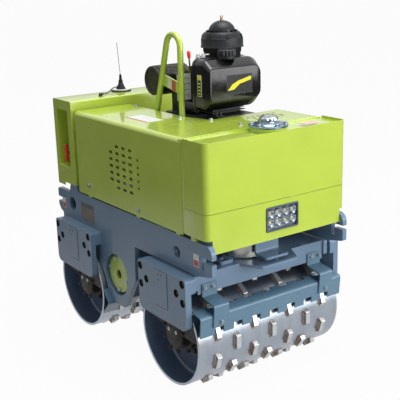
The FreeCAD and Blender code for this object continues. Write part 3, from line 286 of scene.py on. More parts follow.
cast_alloy = metal("cast_alloy", srgb(206, 207, 205), 0.5, 0.12)
chrome = metal("chrome", srgb(176, 186, 196), 0.12, 0.12)
brassy = metal("brassy", srgb(168, 146, 96), 0.4, 0.3)
engine_black = dull("engine_black", srgb(30, 32, 34), 0.42, 500, 0.25)
engine_alloy = dull("engine_alloy", srgb(52, 54, 56), 0.45, 380, 0.3, srgb(78, 80, 80))
drive_black = dull("drive_black", srgb(36, 37, 39), 0.6, 320, 0.35, srgb(66, 60, 52))
muffler_black = dull("muffler_black", srgb(34, 35, 33), 0.55, 700, 0.2, srgb(58, 52, 44))
tank_black = dull("tank_black", srgb(13, 15, 14), 0.16, 900, 0.05, srgb(17, 20, 18), coat=0.25)
black_plastic = dull("black_plastic", srgb(13, 17, 21), 0.42, 1100, 0.3)
red_plastic = dull("red_plastic", srgb(226, 44, 34), 0.35, 900, 0.1, coat=0.3)
rubber = dull("rubber", srgb(20, 20, 21), 0.7, 900, 0.35)
plate_white = dull("plate_white", srgb(222, 224, 222), 0.4, 1200, 0.05, srgb(205, 208, 205))
plate_brown = dull("plate_brown", srgb(128, 118, 108), 0.4, 900, 0.06, srgb(108, 98, 90))
sticker_red = dull("sticker_red", srgb(204, 92, 84), 0.4, 900, 0.04, srgb(190, 74, 68))
sticker_pink = dull("sticker_pink", srgb(222, 196, 180), 0.4, 900, 0.04, srgb(206, 150, 140))
label_black = dull("label_black", srgb(18, 19, 20), 0.3, 1200, 0.03)
label_yellow = dull("label_yellow", srgb(226, 214, 30), 0.35, 1200, 0.03, srgb(216, 200, 26))
lamp_grey = dull("lamp_grey", srgb(74, 84, 92), 0.4, 900, 0.15)
lamp_yellow = dull("lamp_yellow", srgb(236, 214, 150), 0.35, 900, 0.05)
lamp_lens = clear_lens()


# ---- geometry helpers -------------------------------------------------------

def shift(x, y, z):
    return Matrix.Translation((x, y, z))


def spin(angle, axis="Z"):
    return Matrix.Rotation(angle, 4, axis)


def facing(direction, at, turn=0.0):
    """Matrix that stands a piece made along +Z on a point, pointing along a direction."""
    return shift(*at) @ Vector(direction).to_track_quat("Z", "Y").to_matrix().to_4x4() @ spin(turn)


def around(count, start=0.0):
    """Evenly spaced angles of a full turn."""
    return [start + 2 * math.pi * step / count for step in range(count)]


def on_circle(x, centre, radius, angles):
    """Points round an axis that runs along X."""
    return [(x, centre.y + radius * math.cos(angle), centre.z + radius * math.sin(angle)) for angle in angles]


def both_ends(end, length, between=()):
    """(radius, z) points of one end, what is between, and the same end mirrored."""
    return [*end, *between, *((radius, length - z) for radius, z in reversed(end))]


def rounded_outline(x0, x1, z0, z1, radii, steps=7):
    """(x, z) outline of a rectangle; radii are right-top, left-top, left-bottom and right-bottom."""
    points = []
    corners = ((x1, z1, -1, -1), (x0, z1, 1, -1), (x0, z0, 1, 1), (x1, z0, -1, 1))
    for corner, ((x, z, sx, sz), radius) in enumerate(zip(corners, radii)):
        for step in range(steps + 1):
            angle = math.pi / 2 * (corner + step / steps)
            points.append((x + sx * radius + radius * math.cos(angle), z + sz * radius + radius * math.sin(angle)))
    return points


class Piece:
    """One shown object, gathered in a bmesh from simple forms."""

    def __init__(self, name):
        self.name = name
        self.bm = bmesh.new()

    def skin(self, rings, place=None, material=0, closed=False, capped=True, turned_over=False):
        """Skin through rings of points, each wound one way; a ring of one point is a pole.

        Closed joins the last ring to the first, and turned_over is for rings wound the other way.
        """
        place = place or Matrix()
        levels = [[self.bm.verts.new(place @ Vector(point)) for point in ring] for ring in rings]
        count = max(map(len, levels))
        made = []
        for lower, upper in zip(levels, levels[1:] + (levels[:1] if closed else [])):
            for step in range(count):
                after = (step + 1) % count
                corners = (lower[step % len(lower)], lower[after % len(lower)],
                           upper[after % len(upper)], upper[step % len(upper)])
                made.append(self.bm.faces.new(tuple(dict.fromkeys(corners))))
        if capped and not closed:
            ends = (levels[0], levels[-1][::-1]) if turned_over else (levels[0][::-1], levels[-1])
            made += [self.bm.faces.new(end) for end in ends]
        for face in made:
            face.material_index = material
        return made

    def turned(self, profile, place=None, segments=48, material=0, capped=False):
        """Skin turned about local Z from (radius, z) points; a zero radius closes an end."""
        rings = [[(radius * math.cos(angle), radius * math.sin(angle), z) for angle in around(segments)]
                 if radius else [(0, 0, z)] for radius, z in profile]
        return self.skin(rings, place, material, capped=capped)

    def ring(self, profile, place=None, segments=48, material=0):
        """Ring turned about local Z from a closed (radius, z) outline."""
        return self.turned([*profile, profile[0]], place, segments, material)

    def prism(self, outline, thickness, place=None, material=0):
        """Prism over (x, y) points, from local z 0 to its thickness."""
        return self.skin([[(x, y, z) for x, y in outline] for z in (0, thickness)], place, material)

    def block(self, lowest, highest, material=0, place=None):
        (x0, y0, z0), (x1, y1, z1) = lowest, highest
        rings = [[(x0, y0, z), (x1, y0, z), (x1, y1, z), (x0, y1, z)] for z in (z0, z1)]
        return self.skin(rings, place, material)

    def loft(self, sections):
        """Closed skin through (y, outline) sections."""
        return self.skin([[(x, y, z) for x, z in outline] for y, outline in sections], turned_over=True)

    def rod(self, start, end, radius, segments=20, chamfer=0.0):
        start, end = Vector(start), Vector(end)
        rim = [(0, 0), (radius - chamfer, 0), (radius, chamfer)] if chamfer else [(0, 0), (radius, 0)]
        self.turned(both_ends(rim, (end - start).length), facing(end - start, start), segments)

    def lobed(self, place, radius, depth, lobes, z0, z1, ease, segments=96, sharpness=1.0):
        """Cap turned about local Z whose rim is scalloped into lobes."""
        rings = []
        for z, inset in ((z0, 0), (z1 - ease, 0), (z1 - 0.35 * ease, 0.35 * ease), (z1, ease)):
            ring = []
            for angle in around(segments):
                wave = (0.5 - 0.5 * math.cos(lobes * angle)) ** sharpness
                reach = (radius - depth * wave) * (1 - inset / radius)
                ring.append((reach * math.cos(angle), reach * math.sin(angle), z))
            rings.append(ring)
        self.skin(rings, place)

    def bolt(self, at, direction, size, turn=None, washer=True):
        """Hexagon bolt head on its washer, turned by chance; size is the thread's diameter."""
        place = facing(direction, at, chance.uniform(0, 1) if turn is None else turn)
        seat = 0.18 * size if washer else 0.0
        if washer:
            below = -0.2 * size
            self.turned([(0, below), (1.05 * size, below), (1.1 * size, 0.6 * seat), (1.02 * size, seat),
                         (0, seat)], place, 24)
        across, height = 0.96 * size, 0.68 * size
        top = seat + height
        self.turned([(across, seat), (across, seat + 0.85 * height), (0.86 * across, top)], place, 6, capped=True)
        self.turned([(0, top - 1e-4), (0.42 * size, top - 1e-4), (0.40 * size, top + 0.12 * size),
                     (0, top + 0.12 * size)], place, 14)

    def mesh(self):
        """The gathered forms as one mesh."""
        bmesh.ops.recalc_face_normals(self.bm, faces=self.bm.faces)
        return to_mesh(self.bm, self.name)

    def done(self, body, *materials, slot, **finish):
        """Shows the piece with its materials and says what it rides on and stands for."""
        settle(self.name, self.mesh(), body, materials, slot, **finish)


def to_mesh(bm, name):
    made = bpy.data.meshes.new(name)
    bm.to_mesh(made)
    bm.free()
    return made


def settle(name, mesh, body, materials, slot, replaces=None, smooth=35, bevel=0.0, segments=2, sharp=30):
    """Object with shading, materials and a small bevel, on its body; its slot is not used."""
    made = bpy.data.objects.new(name, mesh)
    scene.collection.objects.link(made)
    if not mesh.materials:
        for material in materials:
            mesh.materials.append(material)
    mesh.shade_smooth()
    mesh.set_sharp_from_angle(angle=math.radians(smooth))
    if bevel:
        edge = made.modifiers.new("edge", "BEVEL")
        edge.width = bevel
        edge.segments = segments
        edge.limit_method = "ANGLE"
        edge.angle_limit = math.radians(sharp)
        edge.harden_normals = True
        edge.use_clamp_overlap = True
    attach(made, body)
    if replaces:
        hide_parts(replaces)


def from_node(node, body, material, slot, bevel=0.0, cutters=(), smooth=35):
    """Copy of a CAD node's shape with cleaned faces, cut where asked, and eased edges."""
    bm = bmesh.new()
    bm.from_mesh(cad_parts[node].data)
    bmesh.ops.remove_doubles(bm, verts=bm.verts, dist=2e-5)
    bmesh.ops.dissolve_limit(bm, angle_limit=math.radians(0.6), verts=bm.verts, edges=bm.edges)
    for face in bm.faces:
        face.material_index = 0
    mesh = to_mesh(bm, node + "_body")
    if cutters:
        mesh = carve(mesh, cutters, (material, rubber))
    settle(node + "_body", mesh, body, (material,), slot, node, smooth, bevel, sharp=28)


def carve(mesh, cutters, materials):
    """Mesh with the cutters' volumes taken away; a cut face keeps the cutter's material index."""
    target = bpy.data.objects.new("blank", mesh)
    tools = [bpy.data.objects.new("cutter", cutter.mesh()) for cutter in cutters]
    for each in (target, *tools):
        scene.collection.objects.link(each)
        for material in materials:
            each.data.materials.append(material)
    for tool in tools:
        cut = target.modifiers.new("cut", "BOOLEAN")
        cut.operation = "DIFFERENCE"
        cut.solver = "EXACT"
        cut.object = tool
    bpy.context.view_layer.update()
    made = bpy.data.meshes.new_from_object(target.evaluated_get(bpy.context.evaluated_depsgraph_get()))
    for each in (target, *tools):
        bpy.data.objects.remove(each)
    return made


# ---- antenna's lead ---------------------------------------------------------

LEAD_ROUTE = [
    (-0.044, 0.633, 1.278), (-0.060, 0.631, 1.2775), (-0.078, 0.626, 1.2725), (-0.097, 0.617, 1.2635),
    (-0.116, 0.604, 1.2576), (-0.135, 0.588, 1.2576), (-0.153, 0.571, 1.2609), (-0.170, 0.560, 1.2615)]


def antenna_lead():
    curve = bpy.data.curves.new("antenna_cable", "CURVE")
    curve.dimensions = "3D"
    curve.bevel_depth = 0.0025
    curve.bevel_resolution = 5
    curve.use_fill_caps = True
    spline = curve.splines.new("NURBS")
    spline.points.add(len(LEAD_ROUTE) - 1)
    for point, place in zip(spline.points, LEAD_ROUTE):
        point.co = (*place, 1)
    spline.order_u = 3
    spline.use_endpoint_u = True
    spline.resolution_u = 12
    curve.materials.append(rubber)
    lead = bpy.data.objects.new("antenna_cable", curve)
    scene.collection.objects.link(lead)
    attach(lead, "root")
    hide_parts("antenna_lead")


antenna_lead()


# ---- drums ------------------------------------------------------------------

SHELL_WALL = 0.012
WEB_OUT = 0.305
WEB_THICK = 0.014
HUB_FACE = WEB_OUT + 0.014
HUB_BOLT_CIRCLE = 0.103
HUB_R = 0.122
PAD_ROWS = 20
PAD_PITCH = 2 * DRUM_HALF / 8


def drum_shell(name, axis):
    """Rolled shell with eased rims, painted inside, and a web with its hub flange at each end."""
    shell = Piece(name + "_shell")
    inner, ease, bead = SHELL_R - SHELL_WALL, 0.0018, 0.009
    rim = [(inner, ease), (inner + ease, 0), (SHELL_R - ease, 0), (SHELL_R, ease)]
    outline = [(radius, z - DRUM_HALF) for radius, z in both_ends(rim, 2 * DRUM_HALF)]
    for face in shell.ring(outline, facing((1, 0, 0), (0, axis.y, axis.z)), 144):
        if all(math.hypot(v.co.y - axis.y, v.co.z - axis.z) < inner + 0.0005 for v in face.verts):
            face.material_index = 1
    back, front = WEB_OUT - WEB_THICK, WEB_OUT
    for side in SIDES:
        shell.ring([(0.0602, back), (inner + 0.002, back), (inner + 0.002, front + bead), (inner - bead, front),
                    (HUB_R + 0.004, front), (HUB_R, front + 0.004), (HUB_R, HUB_FACE - 0.0015),
                    (HUB_R - 0.0015, HUB_FACE), (0.0602, HUB_FACE)],
                   facing((side, 0, 0), (0, axis.y, axis.z)), 96, 1)
    shell.done(name, drum_outside, drum_inside, slot="drum_steel", replaces=name, smooth=30)


def hub_bolts(name, axis):
    """Twelve rusty bolts on each hub flange."""
    bolts = Piece(name + "_hub_bolts")
    for side in SIDES:
        for at in on_circle(side * HUB_FACE, axis, HUB_BOLT_CIRCLE, around(12)):
            bolts.bolt(at, (side, 0, 0), 0.014)
    bolts.done(name, rusty_steel, slot="drum_steel")


def pads(name, axis):
    """Pads in offset rows: worn tops and sloped ends, rusty sides, and a weld bead round each foot."""
    blocks = Piece(name + "_pads")
    welds = Piece(name + "_pad_welds")
    foot, rim, top = SHELL_R - 0.006, PAD_REACH - 0.0030, PAD_REACH - 0.0002
    profile = [(-0.042, foot), (0.042, foot), (0.0325, rim), (0.0300, top), (-0.0300, top), (-0.0325, rim)]
    half = 0.013
    for row in range(PAD_ROWS):
        turn = spin(2 * math.pi * row / PAD_ROWS, "X")
        for spot in (-3, -1, 1, 3) if row % 2 == PAD_ROWS // 2 % 2 else (-2, 0, 2):
            place = shift(0, axis.y, axis.z) @ turn @ shift(spot * PAD_PITCH, 0, 0)
            made = blocks.skin([[(x, y, z) for y, z in profile] for x in (-half, half)], place)
            for end in made[-2:]:
                end.material_index = 1
            weld_loop(welds, place, half, 0.0405)
    blocks.done(name, pad_worn, pad_rust, slot="drum_steel", bevel=0.0016)
    welds.done(name, pad_rust, slot="drum_steel", smooth=70)


def weld_loop(piece, place, half_x, half_y):
    """Uneven bead round a rectangle that lies on the drum's shell."""
    corners = [Vector((x * half_x, y * half_y)) for x, y in ((-1, -1), (1, -1), (1, 1), (-1, 1))]
    centres = []
    for start, end, steps in zip(corners, corners[1:] + corners[:1], (3, 7, 3, 7)):
        for step in range(steps):
            x, y = start.lerp(end, step / steps)
            centres.append(Vector((x, y, math.sqrt(SHELL_R ** 2 - y ** 2))))
    rings = []
    for before, centre, after in zip(centres[-1:] + centres, centres, centres[1:] + centres[:1]):
        up = Vector((0, centre.y, centre.z)).normalized()
        across = (after - before).normalized().cross(up).normalized()
        radius = 0.0038 + chance.uniform(-0.0007, 0.0009)
        rings.append([centre + radius * (math.cos(angle) * across + 0.85 * math.sin(angle) * up)
                      for angle in around(6)])
    piece.skin(rings, place, closed=True)


for name, axis in (("front_drum", FRONT_AXIS), ("rear_drum", REAR_AXIS)):
    drum_shell(name, axis)
    hub_bolts(name, axis)
    pads(name, axis)


# ---- frame ------------------------------------------------------------------

LEG_HOLES = ((0.177, 0.566), (0.127, 0.512), (0.175, 0.477), (-0.171, 0.572), (-0.123, 0.517), (-0.172, 0.483))


def leg_cutters(axis):
    """Deep round recesses over the buffer bolts, on both legs' outer faces."""
    cutters = []
    for side in SIDES:
        for y, z in LEG_HOLES:
            hole = Piece("hole")
            face = side * LEG_FACE
            hole.turned([(0, -0.016), (0.019, -0.016), (0.019, 0.004), (0, 0.004)],
                        facing((side, 0, 0), (face, axis.y + y, z)), 32, 1)
            cutters.append(hole)
    return cutters


def leg_panels(name, body, axis):
    """Service plate on each leg's outer face with small screws; a dark sheet round it is painted shadow in its gap and
    the slot below.
    """
    plates = Piece(name + "_service_plates")
    gap_shadow_sheet = Piece(name + "_service_gap_shadow")
    screws = Piece(name + "_service_screws")
    for side in SIDES:
        place = shift(side * LEG_FACE, axis.y, 0) @ Matrix.Scale(side, 4, (1, 0, 0))
        plates.block((-0.002, -0.050, 0.413), (0.0028, 0.052, 0.585), place=place)
        # painted shadow: a dark sheet round the plate, wider at the rear and below, stands in for the shade in its gap
        # and slot
        gap_shadow_sheet.block((-0.001, -0.0515, 0.4095), (0.0006, 0.0545, 0.5862), place=place)
        for y, z in ((0.020, 0.566), (-0.006, 0.568), (0.018, 0.540)):
            at = (side * (LEG_FACE + 0.0026), axis.y + y, z)
            screws.turned([(0, -0.001), (0.0042, -0.001), (0.0042, 0.0006), (0.0030, 0.0014), (0, 0.0014)],
                          facing((side, 0, 0), at), 14)
    plates.done(body, frame_paint, slot="frame_paint", bevel=0.0012)
    gap_shadow_sheet.done(body, drive_black, slot="frame_paint")
    screws.done(body, drive_black, slot="frame_paint")


def leg_buffers(name, body, axis):
    """Bolt heads of the rubber buffers, deep in the legs' recesses."""
    heads = Piece(name + "_buffer_bolts")
    for side in SIDES:
        for y, z in LEG_HOLES:
            heads.bolt((side * (LEG_FACE - 0.0158), axis.y + y, z), (side, 0, 0), 0.011)
    heads.done(body, drive_black, slot="drive_black")


for node, body, axis in (("front_legs", "yoke", FRONT_AXIS), ("rear_legs", "root", REAR_AXIS)):
    from_node(node, body, frame_paint, "frame_paint", 0.0035, leg_cutters(axis))
    leg_panels(node, body, axis)
    leg_buffers(node, body, axis)

for node, body, bevel in (
        ("side_plate_left", "root", 0.0022), ("side_plate_right", "root", 0.0022), ("lock_bracket", "root", 0.0022),
        ("lock_tongue", "yoke", 0.0022), ("yoke_lug", "yoke", 0.0022), ("yoke_beam", "yoke", 0.0022),
        ("chassis_floor", "root", 0.0015), ("swivel_cross_member", "root", 0.0015), ("centre_box", "root", 0.0015),
        ("ram_clevis", "root", 0.0015)):
    from_node(node, body, frame_paint, "frame_paint", bevel)
from_node("hood_posts", "root", hood_paint, "hood_paint", 0.001)
from_node("ram_pin_boss", "yoke", machined_steel, "machined_steel", 0.001)
for node, body in (("front_outer_scraper", "yoke"), ("rear_outer_scraper", "root"), ("rear_inner_scraper", "root"),
                   ("front_scraper_brackets", "yoke"), ("rear_scraper_brackets", "root")):
    from_node(node, body, scraper_paint, "scraper_paint", 0.003)


def bracket_bolts(name, body, side, axis):
    """Zinc bolts: two on each bracket's flange and one on its lower face."""
    bolts = Piece(name + "_bracket_bolts")
    face = high(name + "_scraper_brackets").y if side > 0 else low(name + "_scraper_brackets").y
    seat = axis.y + side * 0.180
    for x in (-1, 1):
        for inner in (0.300, 0.346):
            bolts.bolt((x * inner, seat, 0.531), (0, side, 0), 0.011)
        lower = Vector((x * 0.316, face - side * 0.0045, 0.389))
        bolts.bolt(lower, (0, side, -0.12), 0.010)
    bolts.done(body, zinc, slot="zinc")


bracket_bolts("front", "yoke", -1, FRONT_AXIS)
bracket_bolts("rear", "root", 1, REAR_AXIS)


# ---- hubs on the side plates ------------------------------------------------

HUB_BOLTS = (104, 165, 270, 345)


def hub_covers():
    """Lime disc with an eased rim and a black bore, seated in each side plate, and its zinc bolts."""
    lowest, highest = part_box("hub_covers")
    _, y, z = middle("hub_covers")
    radius = (highest.z - lowest.z) / 2
    thick, bolt_circle = 0.012, 0.084
    discs = Piece("hub_cover_discs")
    bores = Piece("hub_cover_bores")
    bolts = Piece("hub_cover_bolts")
    for side in SIDES:
        inner = highest.x - thick
        place = facing((side, 0, 0), (side * inner, y, z))
        discs.ring([(0.0245, 0.0), (radius, 0.0), (radius, thick - 0.003), (radius - 0.003, thick),
                    (0.034, thick), (0.032, thick + 0.002), (0.0265, thick + 0.002), (0.0245, thick)], place, 72)
        bores.turned([(0, -0.004), (0.0255, -0.004), (0.0255, 0.001), (0, 0.001)], place, 32)
        for degrees in HUB_BOLTS:
            angle = math.radians(degrees)
            at = (side * highest.x, y - bolt_circle * math.cos(angle), z + bolt_circle * math.sin(angle))
            bolts.bolt(at, (side, 0, 0), 0.011)
    discs.done("root", hub_paint, slot="hood_paint", replaces="hub_covers")
    bores.done("root", rubber, slot="black_plastic")
    bolts.done("root", zinc, slot="zinc")


hub_covers()


# ---- hood -------------------------------------------------------------------

for node in ("side_cover_left", "side_cover_right", "cowl_upper", "cowl_lower", "rear_box"):
    from_node(node, "root", hood_paint, "hood_paint", 0.0008)
from_node("lifting_bail", "root", hood_paint, "hood_paint", smooth=50)


def hood_bolts():
    """Zinc bolts on the side covers, the deck and the filler's surroundings."""
    bolts = Piece("hood_bolts")
    for side in SIDES:
        for y, z in ((0.335, 0.833), (-0.150, 0.806)):
            bolts.bolt((side * HOOD_X, y, z), (side, 0, 0), 0.012)
    for x, y in ((-0.090, 0.347), (-0.117, -0.101), (-0.043, -0.256), (-0.009, -0.442)):
        bolts.bolt((x, y, HOOD_TOP), UP, 0.011)
    bolts.done("root", zinc, slot="zinc")


hood_bolts()


def seam_strips():
    """Lime strips under the seams where the cowl meets the side covers."""
    strips = Piece("hood_seam_strips")
    front, back = low("side_cover_left").y - 0.016, low("side_cover_left").y + 0.018
    strips.block((-0.396, front, HOOD_TOP - 0.010), (0.396, back, HOOD_TOP - 0.0020))
    for side in SIDES:
        inner, outer = sorted((side * (HOOD_X - 0.010), side * (HOOD_X - 0.0020)))
        strips.block((inner, front, low("side_cover_left").z + 0.010), (outer, back, HOOD_TOP - 0.004))
    strips.done("root", hood_paint, slot="hood_paint", bevel=0.0006)


seam_strips()


def work_light():
    """Rectangular lamp: grey bezel, zinc plate, chromed cups and beads, yellow emitters, clear fluted lens."""
    lowest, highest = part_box("work_light")
    face, centre = lowest.y, middle("work_light")
    bezel = Piece("work_light_bezel")
    bezel.loft([(y, rounded_outline(lowest.x + inset, highest.x - inset, lowest.z + inset, highest.z - inset,
                                    (radius,) * 4, 6))
                for inset, radius, y in ((0.0003, 0.009, highest.y), (0.0003, 0.009, face + 0.003),
                                         (0.002, 0.008, face), (0.0075, 0.006, face),
                                         (0.0095, 0.005, face + 0.003), (0.0095, 0.005, face + 0.020))])
    bezel.done("root", lamp_grey, slot="lamp_housing", replaces="work_light", smooth=40)

    cups = Piece("work_light_reflectors")
    dies = Piece("work_light_emitters")
    columns, rows = 4, 2
    inner_w, inner_h = highest.x - lowest.x - 0.019, highest.z - lowest.z - 0.019
    for column in range(columns):
        for row in range(rows):
            x = centre.x + (column - (columns - 1) / 2) * inner_w / columns
            z = centre.z + (row - (rows - 1) / 2) * (inner_h - 0.012) / rows + 0.004
            place = facing(FORWARD, (x, face + 0.019, z))
            radius = 0.0205
            cups.ring([(0.006, 0.0), (0.011, 0.002), (0.016, 0.006), (radius - 0.001, 0.0115), (radius, 0.0125),
                       (radius + 0.0008, 0.0115), (radius + 0.0008, -0.001), (0.006, -0.001)], place, 12)
            dies.turned([(0, 0.0), (0.0065, 0.0), (0.0062, 0.003), (0.0045, 0.0055), (0, 0.0068)], place, 16)
    for step in range(16):
        x = centre.x + (step - 7.5) * inner_w / 16.5
        cups.turned([(0, 0.0), (0.0042, 0.0), (0.0036, 0.004), (0, 0.005)],
                    facing(FORWARD, (x, face + 0.019, centre.z - inner_h / 2 + 0.007)), 10)
    cups.done("root", chrome, slot="lamp_housing", smooth=25)
    ground = Piece("work_light_plate")
    ground.block((centre.x - inner_w / 2 - 0.001, face + 0.0170, centre.z - inner_h / 2 - 0.001),
                 (centre.x + inner_w / 2 + 0.001, face + 0.0196, centre.z + inner_h / 2 + 0.001))
    ground.done("root", zinc, slot="lamp_housing", bevel=0.0004)
    dies.done("root", lamp_yellow, slot="lamp_housing")

    lens = Piece("work_light_lens")
    corners = [(centre.x + sx * inner_w / 2, centre.z + sz * inner_h / 2)
               for sx, sz in ((-1, -1), (1, -1), (1, 1), (-1, 1))]
    lens.loft([(y, corners) for y in (face + 0.0030, face + 0.0055)])
    lens.done("root", lamp_lens, slot="lamp_housing")


work_light()


def filler():
    """Zinc flange with its screws and raised neck, under a chromed cap with a lobed rim."""
    x, y, _ = middle("filler_flange")
    base = low("filler_cap").z - 0.018
    bolt_circle = 0.076
    flange = Piece("filler_ring")
    place = shift(x, y, base)
    flange.ring([(0.030, -0.004), (0.086, -0.004), (0.089, -0.002), (0.089, 0.004), (0.087, 0.0068), (0.062, 0.0075),
                 (0.058, 0.0120), (0.052, 0.0135), (0.047, 0.0140), (0.045, 0.0185), (0.030, 0.0185)], place, 72)
    for angle in around(6, 0.35):
        at = (x + bolt_circle * math.cos(angle), y + bolt_circle * math.sin(angle), base + 0.0068)
        flange.bolt(at, UP, 0.0115)
    flange.done("root", zinc_bright, slot="zinc", replaces="filler_flange")
    cap = Piece("filler_cap_body")
    cap.turned([(0, 0.0170), (0.0335, 0.0170), (0.0335, 0.0215), (0.0310, 0.0225), (0.0310, 0.0275), (0, 0.0275)],
               place, 64)
    cap.lobed(place, 0.0430, 0.0040, 10, 0.0262, 0.0395, 0.0045)
    cap.turned([(0.0375, 0.0385), (0.0365, 0.0415), (0.030, 0.0440), (0.018, 0.0456), (0, 0.0462)], place, 64)
    cap.done("root", chrome, slot="filler_chrome", replaces="filler_cap", smooth=40)


filler()


# ---- air filter -------------------------------------------------------------

def air_filter():
    """Bowl, rain cap with vanes round a dome, and a wing nut."""
    x, y, _ = middle("air_filter_dome")
    bottom, seam, top = low("air_filter_bowl").z, low("air_filter_dome").z, high("air_filter_dome").z
    upright = shift(x, y, 0)
    under = bottom + 0.010
    bowl = Piece("air_filter_body")
    bowl.turned([(0, bottom), (0.040, bottom), (0.044, under - 0.004), (0.074, under), (0.084, under + 0.007),
                 (0.0885, under + 0.018), (0.0945, seam - 0.002), (0.0945, seam + 0.002), (0, seam + 0.002)],
                upright, 80)
    for angle in around(24):
        bowl.block((0.0915, -0.0012, seam - 0.022), (0.0955, 0.0012, seam - 0.001),
                   place=upright @ spin(angle))
    bowl.done("root", black_plastic, slot="black_plastic", replaces="air_filter_bowl", smooth=40)

    cap = Piece("air_filter_cap")
    cap.turned([(0, seam + 0.001), (0.098, seam + 0.001), (0.1070, seam - 0.001), (0.1078, seam + 0.001),
                (0.1050, seam + 0.005), (0.1045, seam + 0.040), (0.1035, seam + 0.0435), (0.1005, seam + 0.045),
                (0.0960, seam + 0.058), (0.0900, seam + 0.069), (0.0860, seam + 0.073), (0.0690, seam + 0.074),
                (0.0660, seam + 0.071), (0, seam + 0.071)], upright, 96)
    base = seam + 0.0735
    steps = 10
    rise = top - base
    profile = [(0.0665, base)]
    for step in range(1, steps + 1):
        angle = math.pi / 2 * step / steps
        profile.append((0.0665 * math.cos(angle) if step < steps else 0, base + rise * math.sin(angle)))
    cap.turned(profile, upright, 80)
    for angle in around(16):
        cap.block((0.060, -0.002, base - 0.004), (0.078, 0.002, base + 0.0075),
                  place=upright @ spin(angle + 0.5))
    cap.done("root", black_plastic, slot="black_plastic", replaces="air_filter_dome", smooth=35)

    windows = Piece("air_filter_windows")
    for step in range(6):
        turn = upright @ spin(math.pi * step / 3 + 0.2)
        slope = turn @ shift(0.0985, 0, seam + 0.0545) @ spin(math.radians(-23), "Y")
        windows.block((-0.0005, -0.011, -0.010), (0.0014, 0.011, 0.010), place=slope)
    windows.done("root", rubber, slot="black_plastic", bevel=0.0006)

    nut = Piece("air_filter_wing_nut")
    nut.turned([(0, top - 0.003), (0.0085, top - 0.003), (0.0075, top + 0.006), (0.0055, top + 0.012),
                (0, top + 0.012)], upright, 20)
    for side in SIDES:
        outline = [(0.003, 0.002), (0.010, 0.004), (0.019, 0.016), (0.021, 0.023), (0.017, 0.025), (0.010, 0.017),
                   (0.003, 0.011)]
        wing = upright @ spin(0.6) @ shift(0, 0, top)
        wing = wing @ spin(math.pi / 2, "X") @ Matrix.Scale(side, 4, (1, 0, 0))
        nut.prism(outline, 0.0022, wing @ shift(0, 0, -0.0011))
    nut.done("root", brassy, slot="zinc", bevel=0.0005)


air_filter()


# ---- fuel tank --------------------------------------------------------------

def tank():
    """Moulded tank: two half shells on a seam flange, with broad chamfers round the front face."""
    (x0, y0, z0), (x1, y1, z1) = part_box("fuel_tank")
    body = Piece("fuel_tank_body")

    # y, then how far the left, right, top and bottom sides stand in, then the small and large corner radii
    sections = (
        (y1, 0.010, 0.010, 0.010, 0.010, 0.026, 0.054), (y1 - 0.006, 0.003, 0.003, 0.003, 0.003, 0.032, 0.060),
        (y1 - 0.014, 0.003, 0.003, 0.003, 0.003, 0.032, 0.060), (y1 - 0.016, 0, 0, 0, 0, 0.034, 0.062),
        (y1 - 0.022, 0, 0, 0, 0, 0.034, 0.062), (y1 - 0.024, 0.004, 0.004, 0.004, 0.004, 0.030, 0.058),
        (y1 - 0.040, 0.004, 0.004, 0.004, 0.004, 0.030, 0.058),
        (y0 + 0.052, 0.005, 0.006, 0.005, 0.006, 0.026, 0.056),
        (y0 + 0.047, 0.0055, 0.007, 0.007, 0.008, 0.025, 0.055),
        (y0 + 0.008, 0.008, 0.018, 0.036, 0.042, 0.020, 0.046),
        (y0 + 0.004, 0.0095, 0.0195, 0.039, 0.045, 0.018, 0.045),
        (y0 + 0.001, 0.013, 0.023, 0.043, 0.049, 0.015, 0.042), (y0, 0.017, 0.027, 0.047, 0.053, 0.012, 0.039))
    body.loft([(y, rounded_outline(x0 + left, x1 - right, z0 + bottom, z1 - top, (large, small, small, large)))
               for y, left, right, top, bottom, small, large in sections])
    body.done("root", tank_black, slot="tank_black", replaces="fuel_tank", smooth=24)

    labels = Piece("tank_labels")
    face = y0 - 0.0006
    left, right, bottom, top = x0 + 0.110, x1 - 0.078, z0 + 0.080, z1 - 0.080
    labels.block((left - 0.0015, face, bottom - 0.0015), (right + 0.0015, face + 0.002, top + 0.0015), 3)
    labels.block((left, face - 0.0004, bottom), (right, face + 0.002, top))
    outline = [(left + 0.004, bottom + 0.018), (left + 0.040, bottom + 0.020), (left + 0.075, bottom + 0.045),
               (right - 0.006, bottom + 0.060), (right - 0.006, bottom + 0.078), (left + 0.070, bottom + 0.062),
               (left + 0.030, bottom + 0.045)]
    flat = shift(0, face - 0.0002, 0) @ spin(math.pi / 2, "X")
    labels.prism(outline, 0.0009, flat, 1)
    side = x0 + 0.0034
    labels.block((side - 0.0006, y0 + 0.062, z0 + 0.074), (side + 0.002, y1 - 0.048, z0 + 0.176), 2)
    labels.block((side - 0.0009, y0 + 0.065, z0 + 0.077), (side + 0.002, y1 - 0.051, z0 + 0.173), 0)
    labels.block((side - 0.0012, y0 + 0.065, z0 + 0.152), (side + 0.002, y1 - 0.051, z0 + 0.173), 1)
    for step in range(4):
        z = z0 + 0.084 + 0.016 * step
        labels.block((side - 0.0012, y0 + 0.069, z), (side + 0.002, y1 - 0.055, z + 0.007), 1)
    labels.done("root", label_black, label_yellow, plate_white, lamp_grey, slot="tank_black", bevel=0.0002)

    cap = Piece("tank_cap_body")
    cx, cy, _ = middle("fuel_tank_cap")
    rise = low("fuel_tank_cap").z
    place = shift(cx, cy, rise)
    cap.turned([(0, -0.006), (0.040, -0.006), (0.040, 0.006), (0.038, 0.010), (0, 0.010)], place, 48)
    cap.lobed(place, 0.046, 0.0048, 14, 0.0085, 0.0380, 0.007, 112, 2.2)
    cap.turned([(0.034, 0.0375), (0.033, 0.0392), (0.012, 0.0398), (0, 0.0398)], place, 40)
    cap.done("root", black_plastic, slot="black_plastic", replaces="fuel_tank_cap", smooth=40)


tank()


# ---- muffler ----------------------------------------------------------------

